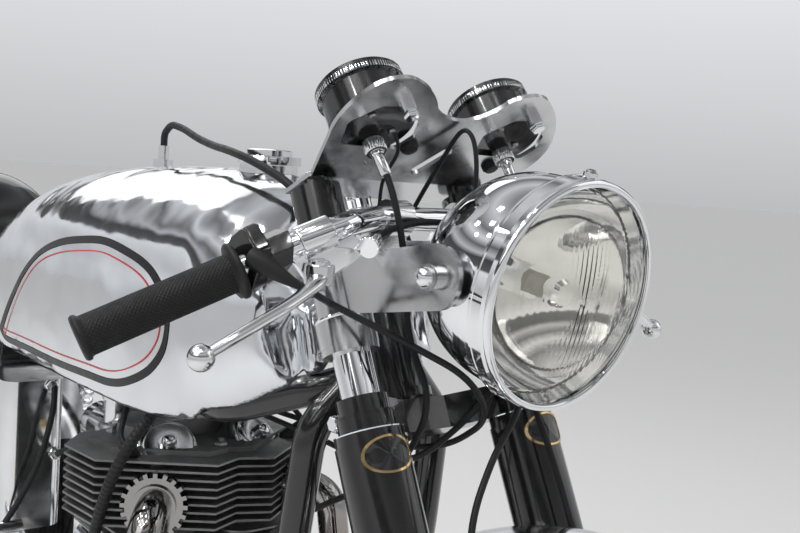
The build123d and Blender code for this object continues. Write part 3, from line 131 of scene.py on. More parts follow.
class NodeTree:
    """A short way to add and join shader nodes in one material or world."""

    def __init__(self, owner: bpy.types.Material | bpy.types.World) -> None:
        """Turns the owner's nodes on and keeps their tree."""
        owner.use_nodes = True
        self.tree = owner.node_tree

    def add(self, kind: str, **values: object) -> bpy.types.Node:
        """Adds one node.

        Args:
            kind: Blender's node type, such as ShaderNodeTexNoise.
            values: Properties of the node, or inputs written with spaces as underscores.

        Returns:
            The new node.
        """
        node = self.tree.nodes.new(kind)
        for name, value in values.items():
            if hasattr(node, name):
                setattr(node, name, value)
            else:
                node.inputs[name.replace("_", " ")].default_value = value
        return node

    def join(self, source: Socket, target: Socket) -> None:
        """Links one socket to another."""
        self.tree.links.new(source, target)

    def noise(self, scale: float, detail: float = 3.0) -> Socket:
        """Adds noise of so many waves a metre, with a number of finer layers on it."""
        noise = self.add("ShaderNodeTexNoise", Scale=scale, Detail=detail)
        self.join(self.add("ShaderNodeTexCoord").outputs["Object"], noise.inputs["Vector"])
        return noise.outputs["Fac"]

    def height(self, kind: str) -> Socket:
        """Gives Z of one kind of texture coordinates."""
        split = self.add("ShaderNodeSeparateXYZ")
        self.join(self.add("ShaderNodeTexCoord").outputs[kind], split.inputs["Vector"])
        return split.outputs["Z"]

    def spread(self, value: Socket, low: float, high: float, start: float = 0.3, end: float = 0.7) -> Socket:
        """Maps a value between start and end to the range low to high."""
        ranged = self.add("ShaderNodeMapRange", From_Min=start, From_Max=end, To_Min=low, To_Max=high)
        self.join(value, ranged.inputs["Value"])
        return ranged.outputs["Result"]

    def mix(self, share: Socket, first: Point, second: Point) -> Socket:
        """Mixes two colours by a share from 0 to 1."""
        mixed = self.add("ShaderNodeMix", data_type="RGBA", A=(*first, 1), B=(*second, 1))
        self.join(share, mixed.inputs["Factor"])
        return mixed.outputs["Result"]

    def ramp(self, share: Socket, stops: list[tuple[float, Point]]) -> Socket:
        """Gives a colour between stops, by a share from 0 to 1."""
        ramp = self.add("ShaderNodeValToRGB")
        self.join(share, ramp.inputs["Fac"])
        elements = ramp.color_ramp.elements
        elements.remove(elements[-1])
        for number, (position, colour) in enumerate(stops):
            stop = elements.new(position) if number else elements[0]
            stop.position = position
            stop.color = (*colour, 1)
        return ramp.outputs["Color"]

    def paint(self, rough: Socket | None, colour: Socket, **values: float) -> None:
        """Joins the roughness and colour to the material's shader and sets its other inputs."""
        shader = self.tree.nodes["Principled BSDF"]
        for name, value in values.items():
            shader.inputs[name.replace("_", " ")].default_value = value
        self.join(colour, shader.inputs["Base Color"])
        if rough is not None:
            self.join(rough, shader.inputs["Roughness"])

    def relief(self, height: Socket, strength: float, distance: float) -> None:
        """Gives the material's surface a fine relief."""
        relief = self.add("ShaderNodeBump", Strength=strength, Distance=distance)
        self.join(height, relief.inputs["Height"])
        self.join(relief.outputs["Normal"], self.tree.nodes["Principled BSDF"].inputs["Normal"])


@dataclass(frozen=True)
class Finish:
    """A finish, made as one material that every piece shares."""

    name: str
    colour: Point

    @cache
    def shared(self) -> bpy.types.Material:
        """Makes this finish's material once and gives it every time."""
        material = bpy.data.materials.new(self.name)
        self.fill(NodeTree(material))
        return material

    def fill(self, tree: NodeTree) -> None:
        """Adds the finish's nodes, here a pale matt one for dial marks and bulbs."""
        share = tree.spread(tree.noise(300.0, 2.0), 0, 1)
        tree.paint(None, tree.mix(share, self.shade(0.9), self.colour), Roughness=0.5)

    def shade(self, share: float, lift: float = 0.0) -> Point:
        """Gives the colour made darker or lighter."""
        return tuple(min(1.0, part * share + lift) for part in self.colour)


@dataclass(frozen=True)
class Metal(Finish):
    """A bare metal: how even its polish is and how fine its marks are."""

    rough: tuple[float, float]
    bump: float = 0.0
    bump_scale: float = 400.0
    dull: float = 0.12
    grain: float = 60.0

    def fill(self, tree: NodeTree) -> None:
        """Adds uneven polish and faint marks."""
        polish = tree.spread(tree.noise(self.grain, 5.0), *self.rough)
        share = tree.spread(tree.noise(self.grain / 6), 0, 1, 0.35, 0.6)
        tree.paint(polish, tree.mix(share, self.shade(1 - self.dull), self.colour), Metallic=1.0)
        if self.bump:
            tree.relief(tree.noise(self.bump_scale, 2.0), self.bump, 0.2 / self.bump_scale)


@dataclass(frozen=True)
class Coat(Finish):
    """A painted, moulded or rubber finish, with its own gloss and a fine surface."""

    rough: tuple[float, float]
    coat: float = 0.0
    bump: float = 0.0
    bump_scale: float = 900.0
    shine: float = 0.5
    grain: float = 90.0

    def fill(self, tree: NodeTree) -> None:
        """Adds a little wear in the colour and gloss."""
        gloss = tree.spread(tree.noise(self.grain, 4.0), *self.rough)
        worn = tree.mix(tree.spread(tree.noise(self.grain / 5), 0, 1), self.colour, self.shade(1.25, 0.002))
        tree.paint(gloss, worn, Coat_Weight=self.coat, Coat_Roughness=0.05, Specular_IOR_Level=self.shine)
        if self.bump:
            tree.relief(tree.noise(self.bump_scale, 4.0), self.bump, 0.0005)


@dataclass(frozen=True)
class Glass(Finish):
    """Clear or tinted glass that lets light through."""

    rough: float = 0.02

    def fill(self, tree: NodeTree) -> None:
        """Adds faint smears and a slight change of tint."""
        smears = tree.noise(45.0)
        tint = tree.mix(tree.spread(smears, 0, 1), self.shade(0.94), self.colour)
        tree.paint(tree.spread(smears, self.rough, self.rough * 2), tint, Transmission_Weight=1.0, IOR=1.45)


@dataclass(frozen=True)
class HotChrome(Finish):
    """Chrome that heat has turned golden and brown near the exhaust ports."""

    ports: float = 0.57
    reach: float = 0.42

    def fill(self, tree: NodeTree) -> None:
        """Adds a tint that fades with the distance below the ports."""
        marks = tree.noise(70.0, 4.0)
        uneven = tree.add("ShaderNodeMath", operation="MULTIPLY_ADD")
        uneven.inputs[1].default_value = 0.05
        tree.join(marks, uneven.inputs[0])
        tree.join(tree.height("Object"), uneven.inputs[2])
        heat = tree.spread(uneven.outputs["Value"], 0, 1, self.ports - self.reach, self.ports)
        stops = [
            (0.0, self.colour),
            (0.4, (0.80, 0.76, 0.66)),
            (0.65, (0.62, 0.47, 0.28)),
            (0.85, (0.32, 0.27, 0.24)),
            (1.0, (0.36, 0.35, 0.34)),
        ]
        tree.paint(tree.spread(marks, 0.05, 0.14), tree.ramp(heat, stops), Metallic=1.0)


POLISHED = Metal("polished_alloy_finish", (0.88, 0.89, 0.90), (0.08, 0.2), bump=0.05)
BEATEN = Metal("beaten_alloy_finish", (0.84, 0.86, 0.89), (0.06, 0.16), bump=0.35, bump_scale=9.0, dull=0.08)
SATIN = Metal("satin_alloy_finish", (0.70, 0.70, 0.71), (0.14, 0.26), dull=0.15)
DARK_CAST = Metal("dark_cast_finish", (0.30, 0.30, 0.30), (0.42, 0.6), bump=0.5, bump_scale=700.0, dull=0.35)
CAST = Metal("cast_alloy_finish", (0.55, 0.56, 0.57), (0.38, 0.55), bump=0.5, bump_scale=700.0, dull=0.3)
CHROME = Metal("chrome_finish", (0.90, 0.91, 0.93), (0.03, 0.07), dull=0.04)
HOT_CHROME = HotChrome("heated_chrome_finish", (0.88, 0.89, 0.91))
STEEL = Metal("steel_finish", (0.42, 0.42, 0.43), (0.25, 0.45), dull=0.3)
BRASS = Metal("gilt_finish", (0.80, 0.58, 0.28), (0.12, 0.25), dull=0.2)
GLOSS_BLACK = Coat("gloss_black_finish", (0.006, 0.006, 0.0065), (0.14, 0.24), coat=0.6)
STRIPE_BLACK = Coat("stripe_black_finish", (0.006, 0.006, 0.007), (0.2, 0.3), shine=0.25)
PIN_RED = Coat("pin_line_red_finish", (0.45, 0.02, 0.015), (0.2, 0.3), coat=0.3)
RUBBER = Coat("rubber_finish", (0.010, 0.010, 0.011), (0.42, 0.6), bump=0.3, shine=0.35)
TYRE = Coat("tyre_finish", (0.020, 0.020, 0.021), (0.6, 0.85), bump=0.4, bump_scale=500.0)
LEATHER = Coat("seat_leather_finish", (0.014, 0.014, 0.014), (0.32, 0.5), bump=0.8, bump_scale=420.0)
THREAD = Coat("seat_thread_finish", (0.05, 0.05, 0.05), (0.6, 0.8))
TAIL_LENS = Coat("tail_lens_finish", (0.42, 0.008, 0.01), (0.08, 0.15), coat=0.6)
DIAL = Coat("dial_finish", (0.010, 0.010, 0.011), (0.4, 0.5))
MARKS = Finish("dial_marks_finish", (0.80, 0.80, 0.76))
BULB = Finish("bulb_finish", (0.95, 0.93, 0.85))
LENS = Glass("lens_glass", (1.0, 0.985, 0.93))


# Building pieces


def frame_at(origin: Vector, z_dir: Vector, x_dir: Vector | None = None) -> Matrix:
    """Makes a local frame at a point.

    Args:
        origin: The frame's origin.
        z_dir: Its own Z.
        x_dir: Roughly its own X, or None for any.

    Returns:
        The frame as a matrix.
    """
    up = z_dir.normalized()
    if x_dir is None:
        x_dir = LEFT if abs(up.y) < 0.9 else AHEAD
    side = up.cross(x_dir).normalized()
    return Matrix.Translation(origin) @ Matrix((side.cross(up), side, up)).transposed().to_4x4()


def beside(side: int, x: float, y: float, z: float) -> Matrix:
    """Makes a frame y out to one side of the machine, its Z outward."""
    return frame_at(mm(x, side * y, z), LEFT * side)


def smooth_path(points: list[Point], each: int = 6) -> list[Vector]:
    """Rounds a route with a Catmull-Rom line through its points.

    Args:
        points: The route.
        each: Steps between two points.

    Returns:
        The places along the smooth line.
    """
    route = [mm(*point) for point in points]
    padded = [route[0] * 2 - route[1], *route, route[-1] * 2 - route[-2]]
    line = []
    for before, start, end, after in zip(padded, padded[1:], padded[2:], padded[3:]):
        for t in (step / each for step in range(each)):
            bend = 2 * start + (end - before) * t
            bend += (2 * before - 5 * start + 4 * end - after) * t * t
            bend += (3 * start - before - 3 * end + after) * t * t * t
            line.append(bend / 2)
    return [*line, route[-1]]


def add_object(name: str, data: bpy.types.ID) -> bpy.types.Object:
    """Puts new data into the scene as an object."""
    thing = bpy.data.objects.new(name, data)
    bpy.context.scene.collection.objects.link(thing)
    return thing


def copy_packed(packed: bpy.types.Object, name: str, finish: Finish) -> bpy.types.Object:
    """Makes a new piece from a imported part's own mesh."""
    data = packed.data.copy()
    data.materials.clear()
    data.materials.append(finish.shared())
    piece = add_object(name, data)
    piece.matrix_world = packed.matrix_world
    return piece


def modify(piece: bpy.types.Object, name: str, kind: str, **values: object) -> bpy.types.Modifier:
    """Adds a modifier and sets its values."""
    modifier = piece.modifiers.new(name, kind)
    for key, value in values.items():
        setattr(modifier, key, value)
    return modifier


def bake(piece: bpy.types.Object) -> None:
    """Turns a piece's modifiers into its own mesh."""
    graph = bpy.context.evaluated_depsgraph_get()
    graph.update()
    finished = bpy.data.meshes.new_from_object(piece.evaluated_get(graph))
    piece.modifiers.clear()
    piece.data = finished


def shade_smooth(piece: bpy.types.Object) -> None:
    """Smooths every face."""
    for polygon in piece.data.polygons:
        polygon.use_smooth = True


class Form:
    """One mesh piece put together from turned, swept and plated shapes."""

    def __init__(self, name: str, *finishes: Finish) -> None:
        """Starts an empty piece with its finishes in slot order."""
        self.name = name
        self.finishes = finishes
        self.mesh = bmesh.new()

    def face(self, corners: list[bmesh.types.BMVert], slot: int = 0) -> None:
        """Adds one face."""
        self.mesh.faces.new(corners).material_index = slot

    def ring(self, place: Matrix, points: list[Point]) -> list[bmesh.types.BMVert]:
        """Adds one row of vertices."""
        return [self.mesh.verts.new(place @ mm(*point)) for point in points]

    def skin(self, rings: list[list[bmesh.types.BMVert]], slot: int = 0) -> None:
        """Joins rows of vertices with faces."""
        for low, high in zip(rings, rings[1:]):
            count = max(len(low), len(high))
            for index in range(count):
                after = (index + 1) % count
                if len(low) == 1:
                    self.face([low[0], high[after], high[index]], slot)
                elif len(high) == 1:
                    self.face([low[index], low[after], high[0]], slot)
                else:
                    self.face([low[index], low[after], high[after], high[index]], slot)

    def net(self, rows: list[list[Vector]], slot: int = 0) -> list[list[bmesh.types.BMVert]]:
        """Joins rows of places with faces and gives the rows of vertices."""
        rings = [[self.mesh.verts.new(place) for place in row] for row in rows]
        self.skin(rings, slot)
        return rings

    def turn(
        self,
        place: Matrix,
        rows: Rows,
        slot: int = 0,
        steps: int = 48,
        wave: Wave | None = None,
        loop: bool = False,
    ) -> None:
        """Turns a profile round the frame's Z.

        Args:
            place: The frame.
            rows: Radius and height of each row; a radius of 0 closes an end.
            slot: Which finish.
            steps: Points round the circle.
            wave: Extra radius for an angle and a row, or None.
            loop: Whether the last row joins the first.
        """
        rings = []
        for number, (radius, height) in enumerate(rows):
            points = []
            for turn in turns(steps) if radius else []:
                grown = radius + (wave(turn, number) if wave else 0.0)
                points.append((grown * math.cos(turn), grown * math.sin(turn), height))
            rings.append(self.ring(place, points or [(0, 0, height)]))
        self.skin([*rings, rings[0]] if loop else rings, slot)

    def disc(self, place: Matrix, radius: float, low: float, high: float, slot: int, steps: int) -> None:
        """Adds a plain cylinder between two heights."""
        self.turn(place, [(0, low), (radius, low), (radius, high), (0, high)], slot, steps)

    def nut(self, place: Matrix, across: float, height: float, slot: int, foot: float = 0.0) -> None:
        """Adds a chamfered hexagon, its foot at a height in the frame."""
        radius = across / math.sqrt(3)
        rows = [(0, 0), (radius, 0), (radius, height * 0.8), (radius * 0.86, height), (0, height)]
        self.turn(place, [(width, foot + rise) for width, rise in rows], slot, 6)

    def bolt(self, place: Matrix, washer: Pair, nut: Pair, slots: tuple[int, int], steps: int) -> None:
        """Adds a washer of a radius and thickness, and a nut of a width and height on it."""
        self.disc(place, washer[0], 0, washer[1], slots[0], steps)
        self.nut(place, *nut, slots[1], foot=washer[1])

    def screw(self, place: Matrix, radius: float, height: float, slot: int = 0) -> None:
        """Adds a domed screw head with a slot cut across it."""
        rows = [(0, 0), (1, 0), (1, 0.45), (0.8, 0.85), (0.45, 1)]
        self.turn(place, [(radius * width, height * rise) for width, rise in rows], slot, 20)
        for side in SIDES:
            corners = [(-0.45, 0.12), (0.45, 0.12), (0.3, 0.4), (-0.3, 0.4)]
            row = self.ring(place, [(radius * x, side * radius * y, height) for x, y in corners])
            self.face(row if side > 0 else row[::-1], slot)
        floor = [(-0.45, -0.12), (0.45, -0.12), (0.45, 0.12), (-0.45, 0.12)]
        self.face(self.ring(place, [(radius * x, radius * y, height * 0.6) for x, y in floor]), slot)

    def tube(self, path: list[Vector], radius: float | list[float], slot: int = 0, sides: int = 12) -> None:
        """Sweeps a round section along a path, closed at both ends.

        Args:
            path: The places along it.
            radius: One radius, or one for each place.
            slot: Which finish.
            sides: Points round the section.
        """
        radii = radius if isinstance(radius, list) else [radius] * len(path)
        rows = []
        side = None
        for index, place in enumerate(path):
            ahead = (path[min(index + 1, len(path) - 1)] - path[max(index - 1, 0)]).normalized()
            side = side or ahead.orthogonal().normalized()
            side = (side - ahead * side.dot(ahead)).normalized()
            other = ahead.cross(side)
            wide, high = side * radii[index] / 1000, other * radii[index] / 1000
            rows.append([place + wide * math.cos(turn) + high * math.sin(turn) for turn in turns(sides)])
        rings = self.net(rows, slot)
        self.face(rings[0][::-1], slot)
        self.face(rings[-1], slot)

    def plate(self, place: Matrix, outline: list[tuple[float, float]], height: float, slot: int = 0) -> None:
        """Raises a flat outline along the frame's Z."""
        low, high = (self.ring(place, [(x, y, rise) for x, y in outline]) for rise in (0, height))
        self.skin([low, high], slot)
        self.face(low[::-1], slot)
        self.face(high, slot)

    def hull(self, corners: list[Vector], slot: int = 0) -> None:
        """Wraps corners in one convex block."""
        made = bmesh.ops.convex_hull(self.mesh, input=[self.mesh.verts.new(corner) for corner in corners])
        for item in made["geom"]:
            if isinstance(item, bmesh.types.BMFace):
                item.material_index = slot
        inner = made["geom_unused"] + made["geom_interior"]
        spare = {item for item in inner if isinstance(item, bmesh.types.BMVert)}
        bmesh.ops.delete(self.mesh, geom=list(spare), context="VERTS")

    def done(self, body: Body, *nodes: str, bevel: float = 0.0, crease: float = 40.0) -> bpy.types.Object:
        """Finishes the piece, sets its finishes and puts it on its body.

        Args:
            body: What it rides on.
            nodes: CAD nodes that it stands for.
            bevel: Width of a rounded edge, or 0.
            crease: Edges sharper than this many degrees stay sharp.

        Returns:
            The new object.
        """
        bmesh.ops.recalc_face_normals(self.mesh, faces=self.mesh.faces)
        for edge in self.mesh.edges:
            edge.smooth = len(edge.link_faces) != 2 or edge.calc_face_angle(0.0) <= math.radians(crease)
        data = bpy.data.meshes.new(self.name)
        self.mesh.to_mesh(data)
        self.mesh.free()
        for finish in self.finishes:
            data.materials.append(finish.shared())
        piece = add_object(self.name, data)
        shade_smooth(piece)
        if bevel:
            modify(piece, "rounding", "BEVEL", width=bevel / 1000, segments=2, limit_method="ANGLE")
        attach(piece, body.value)
        if nodes:
            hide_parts(*nodes)
        return piece


# Places on the machine


@dataclass(frozen=True)
class Layout:
    """The named places that part.py also uses."""

    front_axle: Vector = held(0.709, 0, 0.330)
    rear_axle: Vector = held(-0.701, 0, 0.363)
    rake: float = math.radians(26)
    leg_y: float = 93.65
    gauge_tilt: float = math.radians(36)
    gauge_v: float = 70
    gauge_y: float = 80
    lamp: Vector = held(0.6458, 0, 0.8636)
    lamp_dip: float = math.radians(10)
    grip_in: Vector = held(0.471, -0.205, 0.868)
    grip_out: Vector = held(0.434, -0.325, 0.810)

    def on_fork(self, u: float, y: float, s: float) -> Vector:
        """The place u ahead of the legs, y left and s up them."""
        ahead, upward = tilted(self.rake)
        return self.front_axle + (ahead * u + upward * s + LEFT * y) / 1000

    def fork_frame(self, u: float, y: float, s: float) -> Matrix:
        """A frame on the fork: Z up the leg, X forward."""
        ahead, upward = tilted(self.rake)
        return frame_at(self.on_fork(u, y, s), upward, ahead)

    def on_gauge(self, v: float, y: float, h: float) -> Vector:
        """The place v along the gauge plate, y left and h above its lower face."""
        along, above = tilted(self.gauge_tilt)
        return self.on_fork(14, 0, 680) + (along * v + above * h + LEFT * y) / 1000

    def gauge_frame(self, v: float, y: float, h: float, below: bool = False) -> Matrix:
        """A frame on the gauge plate: Z away from the plate, X along it."""
        along, above = tilted(self.gauge_tilt)
        return frame_at(self.on_gauge(v, y, h), -above if below else above, along)

    def lamp_frame(self, t: float) -> Matrix:
        """A frame on the headlamp's axis, Z forward and X up."""
        axis = tilted(-self.lamp_dip)[0]
        return frame_at(self.lamp + axis * t / 1000, axis, UP)

    def grip_frame(self, side: int, distance: float) -> Matrix:
        """A frame on the bar's end run, Z outward, a distance from the grip's inner end."""
        line = (self.grip_out - self.grip_in).normalized()
        mirror = Vector((1, -side, 1))
        return frame_at((self.grip_in + line * distance / 1000) * mirror, line * mirror, UP)


LAYOUT = Layout()


# Wheels


@dataclass
class Wheel:
    """A tyre with its cut tread, and the small parts of a laced wheel."""

    name: str
    body: Body
    axle: Vector
    tyre_r: float
    half_width: float
    ribbed: bool
    bead_r: float = 246.0
    bead_y: float = 24.0
    rim_r: float = 228.5
    crown_rows: int = 42
    steps: int = 432
    spokes: int = 20

    def build(self) -> None:
        """Builds the tyre, the nipples and the valve."""
        form = Form(f"{self.name}_tyre_tread", TYRE)
        rows = self.profile()
        place = frame_at(self.axle, LEFT, AHEAD)
        form.turn(place, rows, 0, self.steps, lambda angle, row: -self.tread(*rows[row], angle), loop=True)
        form.done(self.body, f"{self.name}_tyre", crease=50)
        self.build_trim()

    def profile(self) -> Rows:
        """Gives the tyre's section as radius and distance across, from one bead to the other."""
        waist = self.tyre_r - 46
        half = []
        for step in range(8):
            turn = math.pi / 2 * (step / 7 - 1)
            across = self.bead_y + (self.half_width - self.bead_y) * math.cos(turn)
            half.append((waist + (waist - self.bead_r) * math.sin(turn), across))
        for step in range(1, self.crown_rows):
            turn = math.pi / 2 * step / self.crown_rows
            across = self.half_width * math.cos(turn) ** 0.9
            half.append((waist + (self.tyre_r - waist) * math.sin(turn), across))
        return [*half, (self.tyre_r, 0.0), *((radius, -across) for radius, across in reversed(half))]

    def tread(self, radius: float, across: float, angle: float) -> float:
        """Gives how deep the tread is cut at a point."""
        edge = abs(across)
        if radius < self.tyre_r - 18:
            return 0.0
        if self.ribbed:
            return 2.8 if any(abs(edge - line) < 1.7 for line in (4.0, 13.0, 22.0)) else 0.0
        block = (angle * 54 / TURN + edge * 0.045 * (1 if across > 0 else -1)) % 1
        cut = block < 0.2 or 11 < edge < 14 or edge < 1.2
        return 3.5 if cut and edge < self.half_width * 0.76 else 0.0

    def build_trim(self) -> None:
        """Adds a nipple at each spoke, and the valve."""
        form = Form(f"{self.name}_wheel_trim", STEEL, RUBBER)
        for side in SIDES:
            for count in range(self.spokes):
                start = math.radians(count * 18 + (9 if side > 0 else 0))
                turn = start + math.radians(24 if count % 2 else -24)
                seat = mm(math.cos(turn) * self.rim_r, side * 8.5, math.sin(turn) * self.rim_r)
                hub = mm(math.cos(start) * 104, side * 32, math.sin(start) * 104)
                place = frame_at(self.axle + seat, hub - seat)
                form.turn(place, [(0, -3), (3.4, -3), (3.4, 10), (2.4, 14), (0, 14)], 0, 8)
        valve = [(0, -4), (6, -4), (6, 0), (3.6, 2), (3.6, 30), (4.5, 30), (4.5, 38), (0, 38)]
        form.turn(frame_at(self.axle - UP * self.rim_r / 1000, UP), valve, 1, 14)
        form.done(self.body)


# Fork, headlamp and instruments


@dataclass
class ForkTrim:
    """Rings, bolts and plain badges on the fork."""

    # how far up the leg each ring is, its finish and its section
    rings: tuple[tuple[float, int, Rows], ...] = (
        (547, 0, ((17.8, 0), (26.2, 0), (26.8, 1.5), (26.2, 3), (17.8, 3))),
        (446, 0, ((17.8, 0), (30.5, 0), (31, 1), (26.8, 2.2), (17.8, 2.2))),
        (461, 1, ((23.5, 0), (26.8, 0), (26.8, 1.6), (23.5, 1.6))),
        (236, 1, ((17.6, 0), (22.2, 0), (22.2, 6), (17.6, 6))),
    )
    cover_r: float = 31.75

    def build(self) -> None:
        """Builds every small fork piece."""
        form = Form("fork_trim", CHROME, GLOSS_BLACK, BRASS, STEEL)
        for side in SIDES:
            y = side * LAYOUT.leg_y
            for s, slot, rows in self.rings:
                form.turn(LAYOUT.fork_frame(0, y, s), rows, slot)
            # the cap nut's flats and its centre
            form.nut(LAYOUT.fork_frame(0, y, 680), 27, 7, 0)
            form.turn(LAYOUT.fork_frame(0, y, 687), [(0, 0), (7, 0), (6, 3), (0, 3.5)], 3, 24)
            # both yokes' pinch bolts
            for s, out in ((461, 16), (612, 14)):
                place = frame_at(LAYOUT.on_fork(-20, y + side * out, s), LEFT * side)
                form.disc(place, 6.5, -12, 0, 3, 20)
                form.nut(place, 13, 6, 0)
            # the axle's nut and its pinch bolts
            form.nut(beside(side, 709, 121, 330), 24, 9, 0)
            for u in (-17, 17):
                stud = frame_at(LAYOUT.on_fork(u, y, -24), -tilted(LAYOUT.rake)[1])
                form.disc(stud, 3.8, -10, 8, 3, 12)
                form.nut(stud, 11, 6, 0)
        form.done(Body.STEERING)
        self.badges()

    def badges(self) -> None:
        """Lays a bare oval plate with a raised gilt rim round each fork cover."""
        form = Form("cover_plates", GLOSS_BLACK, BRASS)
        # share of the oval's size and lift off the cover, of each row of the plate and of its rim
        plate = ((0.0, 0.9), (0.88, 0.9))
        rim = ((0.88, 0.3), (0.88, 1.5), (1.0, 1.5), (1.0, -0.2))
        for side in SIDES:
            for slot, rows in enumerate((plate, rim)):
                oval = [[self.on_cover(side, size, turn, lift) for turn in turns(48)] for size, lift in rows]
                form.net(oval, slot)
        form.done(Body.STEERING, crease=60)

    def on_cover(self, side: int, size: float, turn: float, lift: float) -> Vector:
        """Gives a place on a cover's oval: share of its size, turn round it, lift above the cover."""
        radius = self.cover_r + lift
        facing, s = (math.radians(-12), 423) if side < 0 else (0.0, 424)
        around = facing + size * math.cos(turn) * 25 / self.cover_r
        y = side * LAYOUT.leg_y + radius * math.sin(around)
        return LAYOUT.on_fork(radius * math.cos(around), y, s + size * math.sin(turn) * 16)


@dataclass
class Headlamp:
    """The fluted lens, the bulb, the rim's clip and the mounting bolts."""

    glass_r: float = 91.5
    back_r: float = 88.0
    flutes: int = 34
    steps: int = 160

    def build(self) -> None:
        """Builds the lens and the small pieces."""
        self.build_lens()
        self.build_trim()

    def build_lens(self) -> None:
        """Builds a domed lens whose back is ribbed with upright flutes."""
        form = Form("headlamp_lens", LENS)
        place = LAYOUT.lamp_frame(0)
        rows = [[(0, 0, 18)]]
        for share in (step / 16 for step in range(1, 17)):
            rows.append(circle(self.glass_r * share, self.steps, 18 * (1 - share**2)))
        rows.append(circle(self.glass_r, self.steps, -4))
        for radius in (self.back_r * step / 28 for step in range(28, 0, -1)):
            dome = 13.5 * (1 - (radius / self.glass_r) ** 2) - 4
            depth = 0.5 * min(1.0, (self.back_r - radius) * 0.08)
            wave = self.flutes * math.pi / self.glass_r
            rows.append([(x, y, dome + depth * math.cos(y * wave)) for x, y, _ in circle(radius, self.steps)])
        rows.append([(0, 0, 13.5)])
        form.skin([form.ring(place, row) for row in rows])
        form.done(Body.STEERING, "headlamp_glass", crease=60)

    def build_trim(self) -> None:
        """Adds the bulb, the rim's roll, its clip screw and the bolts at both ears."""
        form = Form("headlamp_trim", CHROME, STEEL, BULB, GLOSS_BLACK)
        bulb = [(0, 0), (7.5, 0), (9.5, 8), (9.5, 16), (6, 24), (0, 27)]
        form.turn(LAYOUT.lamp_frame(-45), bulb, 2, 28)
        form.turn(LAYOUT.lamp_frame(-20), [(10.5, 0), (12, 0), (12, 8), (9, 11.5), (0, 13)], 0, 32)
        arc = [step * 0.3 - 0.5 for step in range(13)]
        roll = [(94.5 + 3.2 * math.cos(angle), 1.2 + 3.2 * math.sin(angle)) for angle in arc]
        form.turn(LAYOUT.lamp_frame(0), roll, 0, 96)
        form.turn(LAYOUT.lamp_frame(-16.2), [(97.5, -2), (98.4, -1), (98.4, 1), (97.5, 2)], 0, 96)
        clip = LAYOUT.lamp_frame(-8) @ mm(97.5, 0, 0)
        upward = LAYOUT.lamp_frame(0).to_3x3() @ AHEAD
        form.turn(frame_at(clip, upward), [(0, 0), (6.2, 0), (6.2, 4), (4, 4.5)], 0, 24)
        form.screw(frame_at(clip + upward * 0.004, upward), 4.2, 2.8, 1)
        for side in SIDES:
            place = beside(side, 593.6, 110, 875.2)
            form.disc(place, 10.5, 0, 2, 1, 32)
            form.turn(place, [(8.5, 2), (8.5, 6), (6.2, 9.5), (3, 10.8), (0, 11)], 0, 32)
        form.done(Body.STEERING)


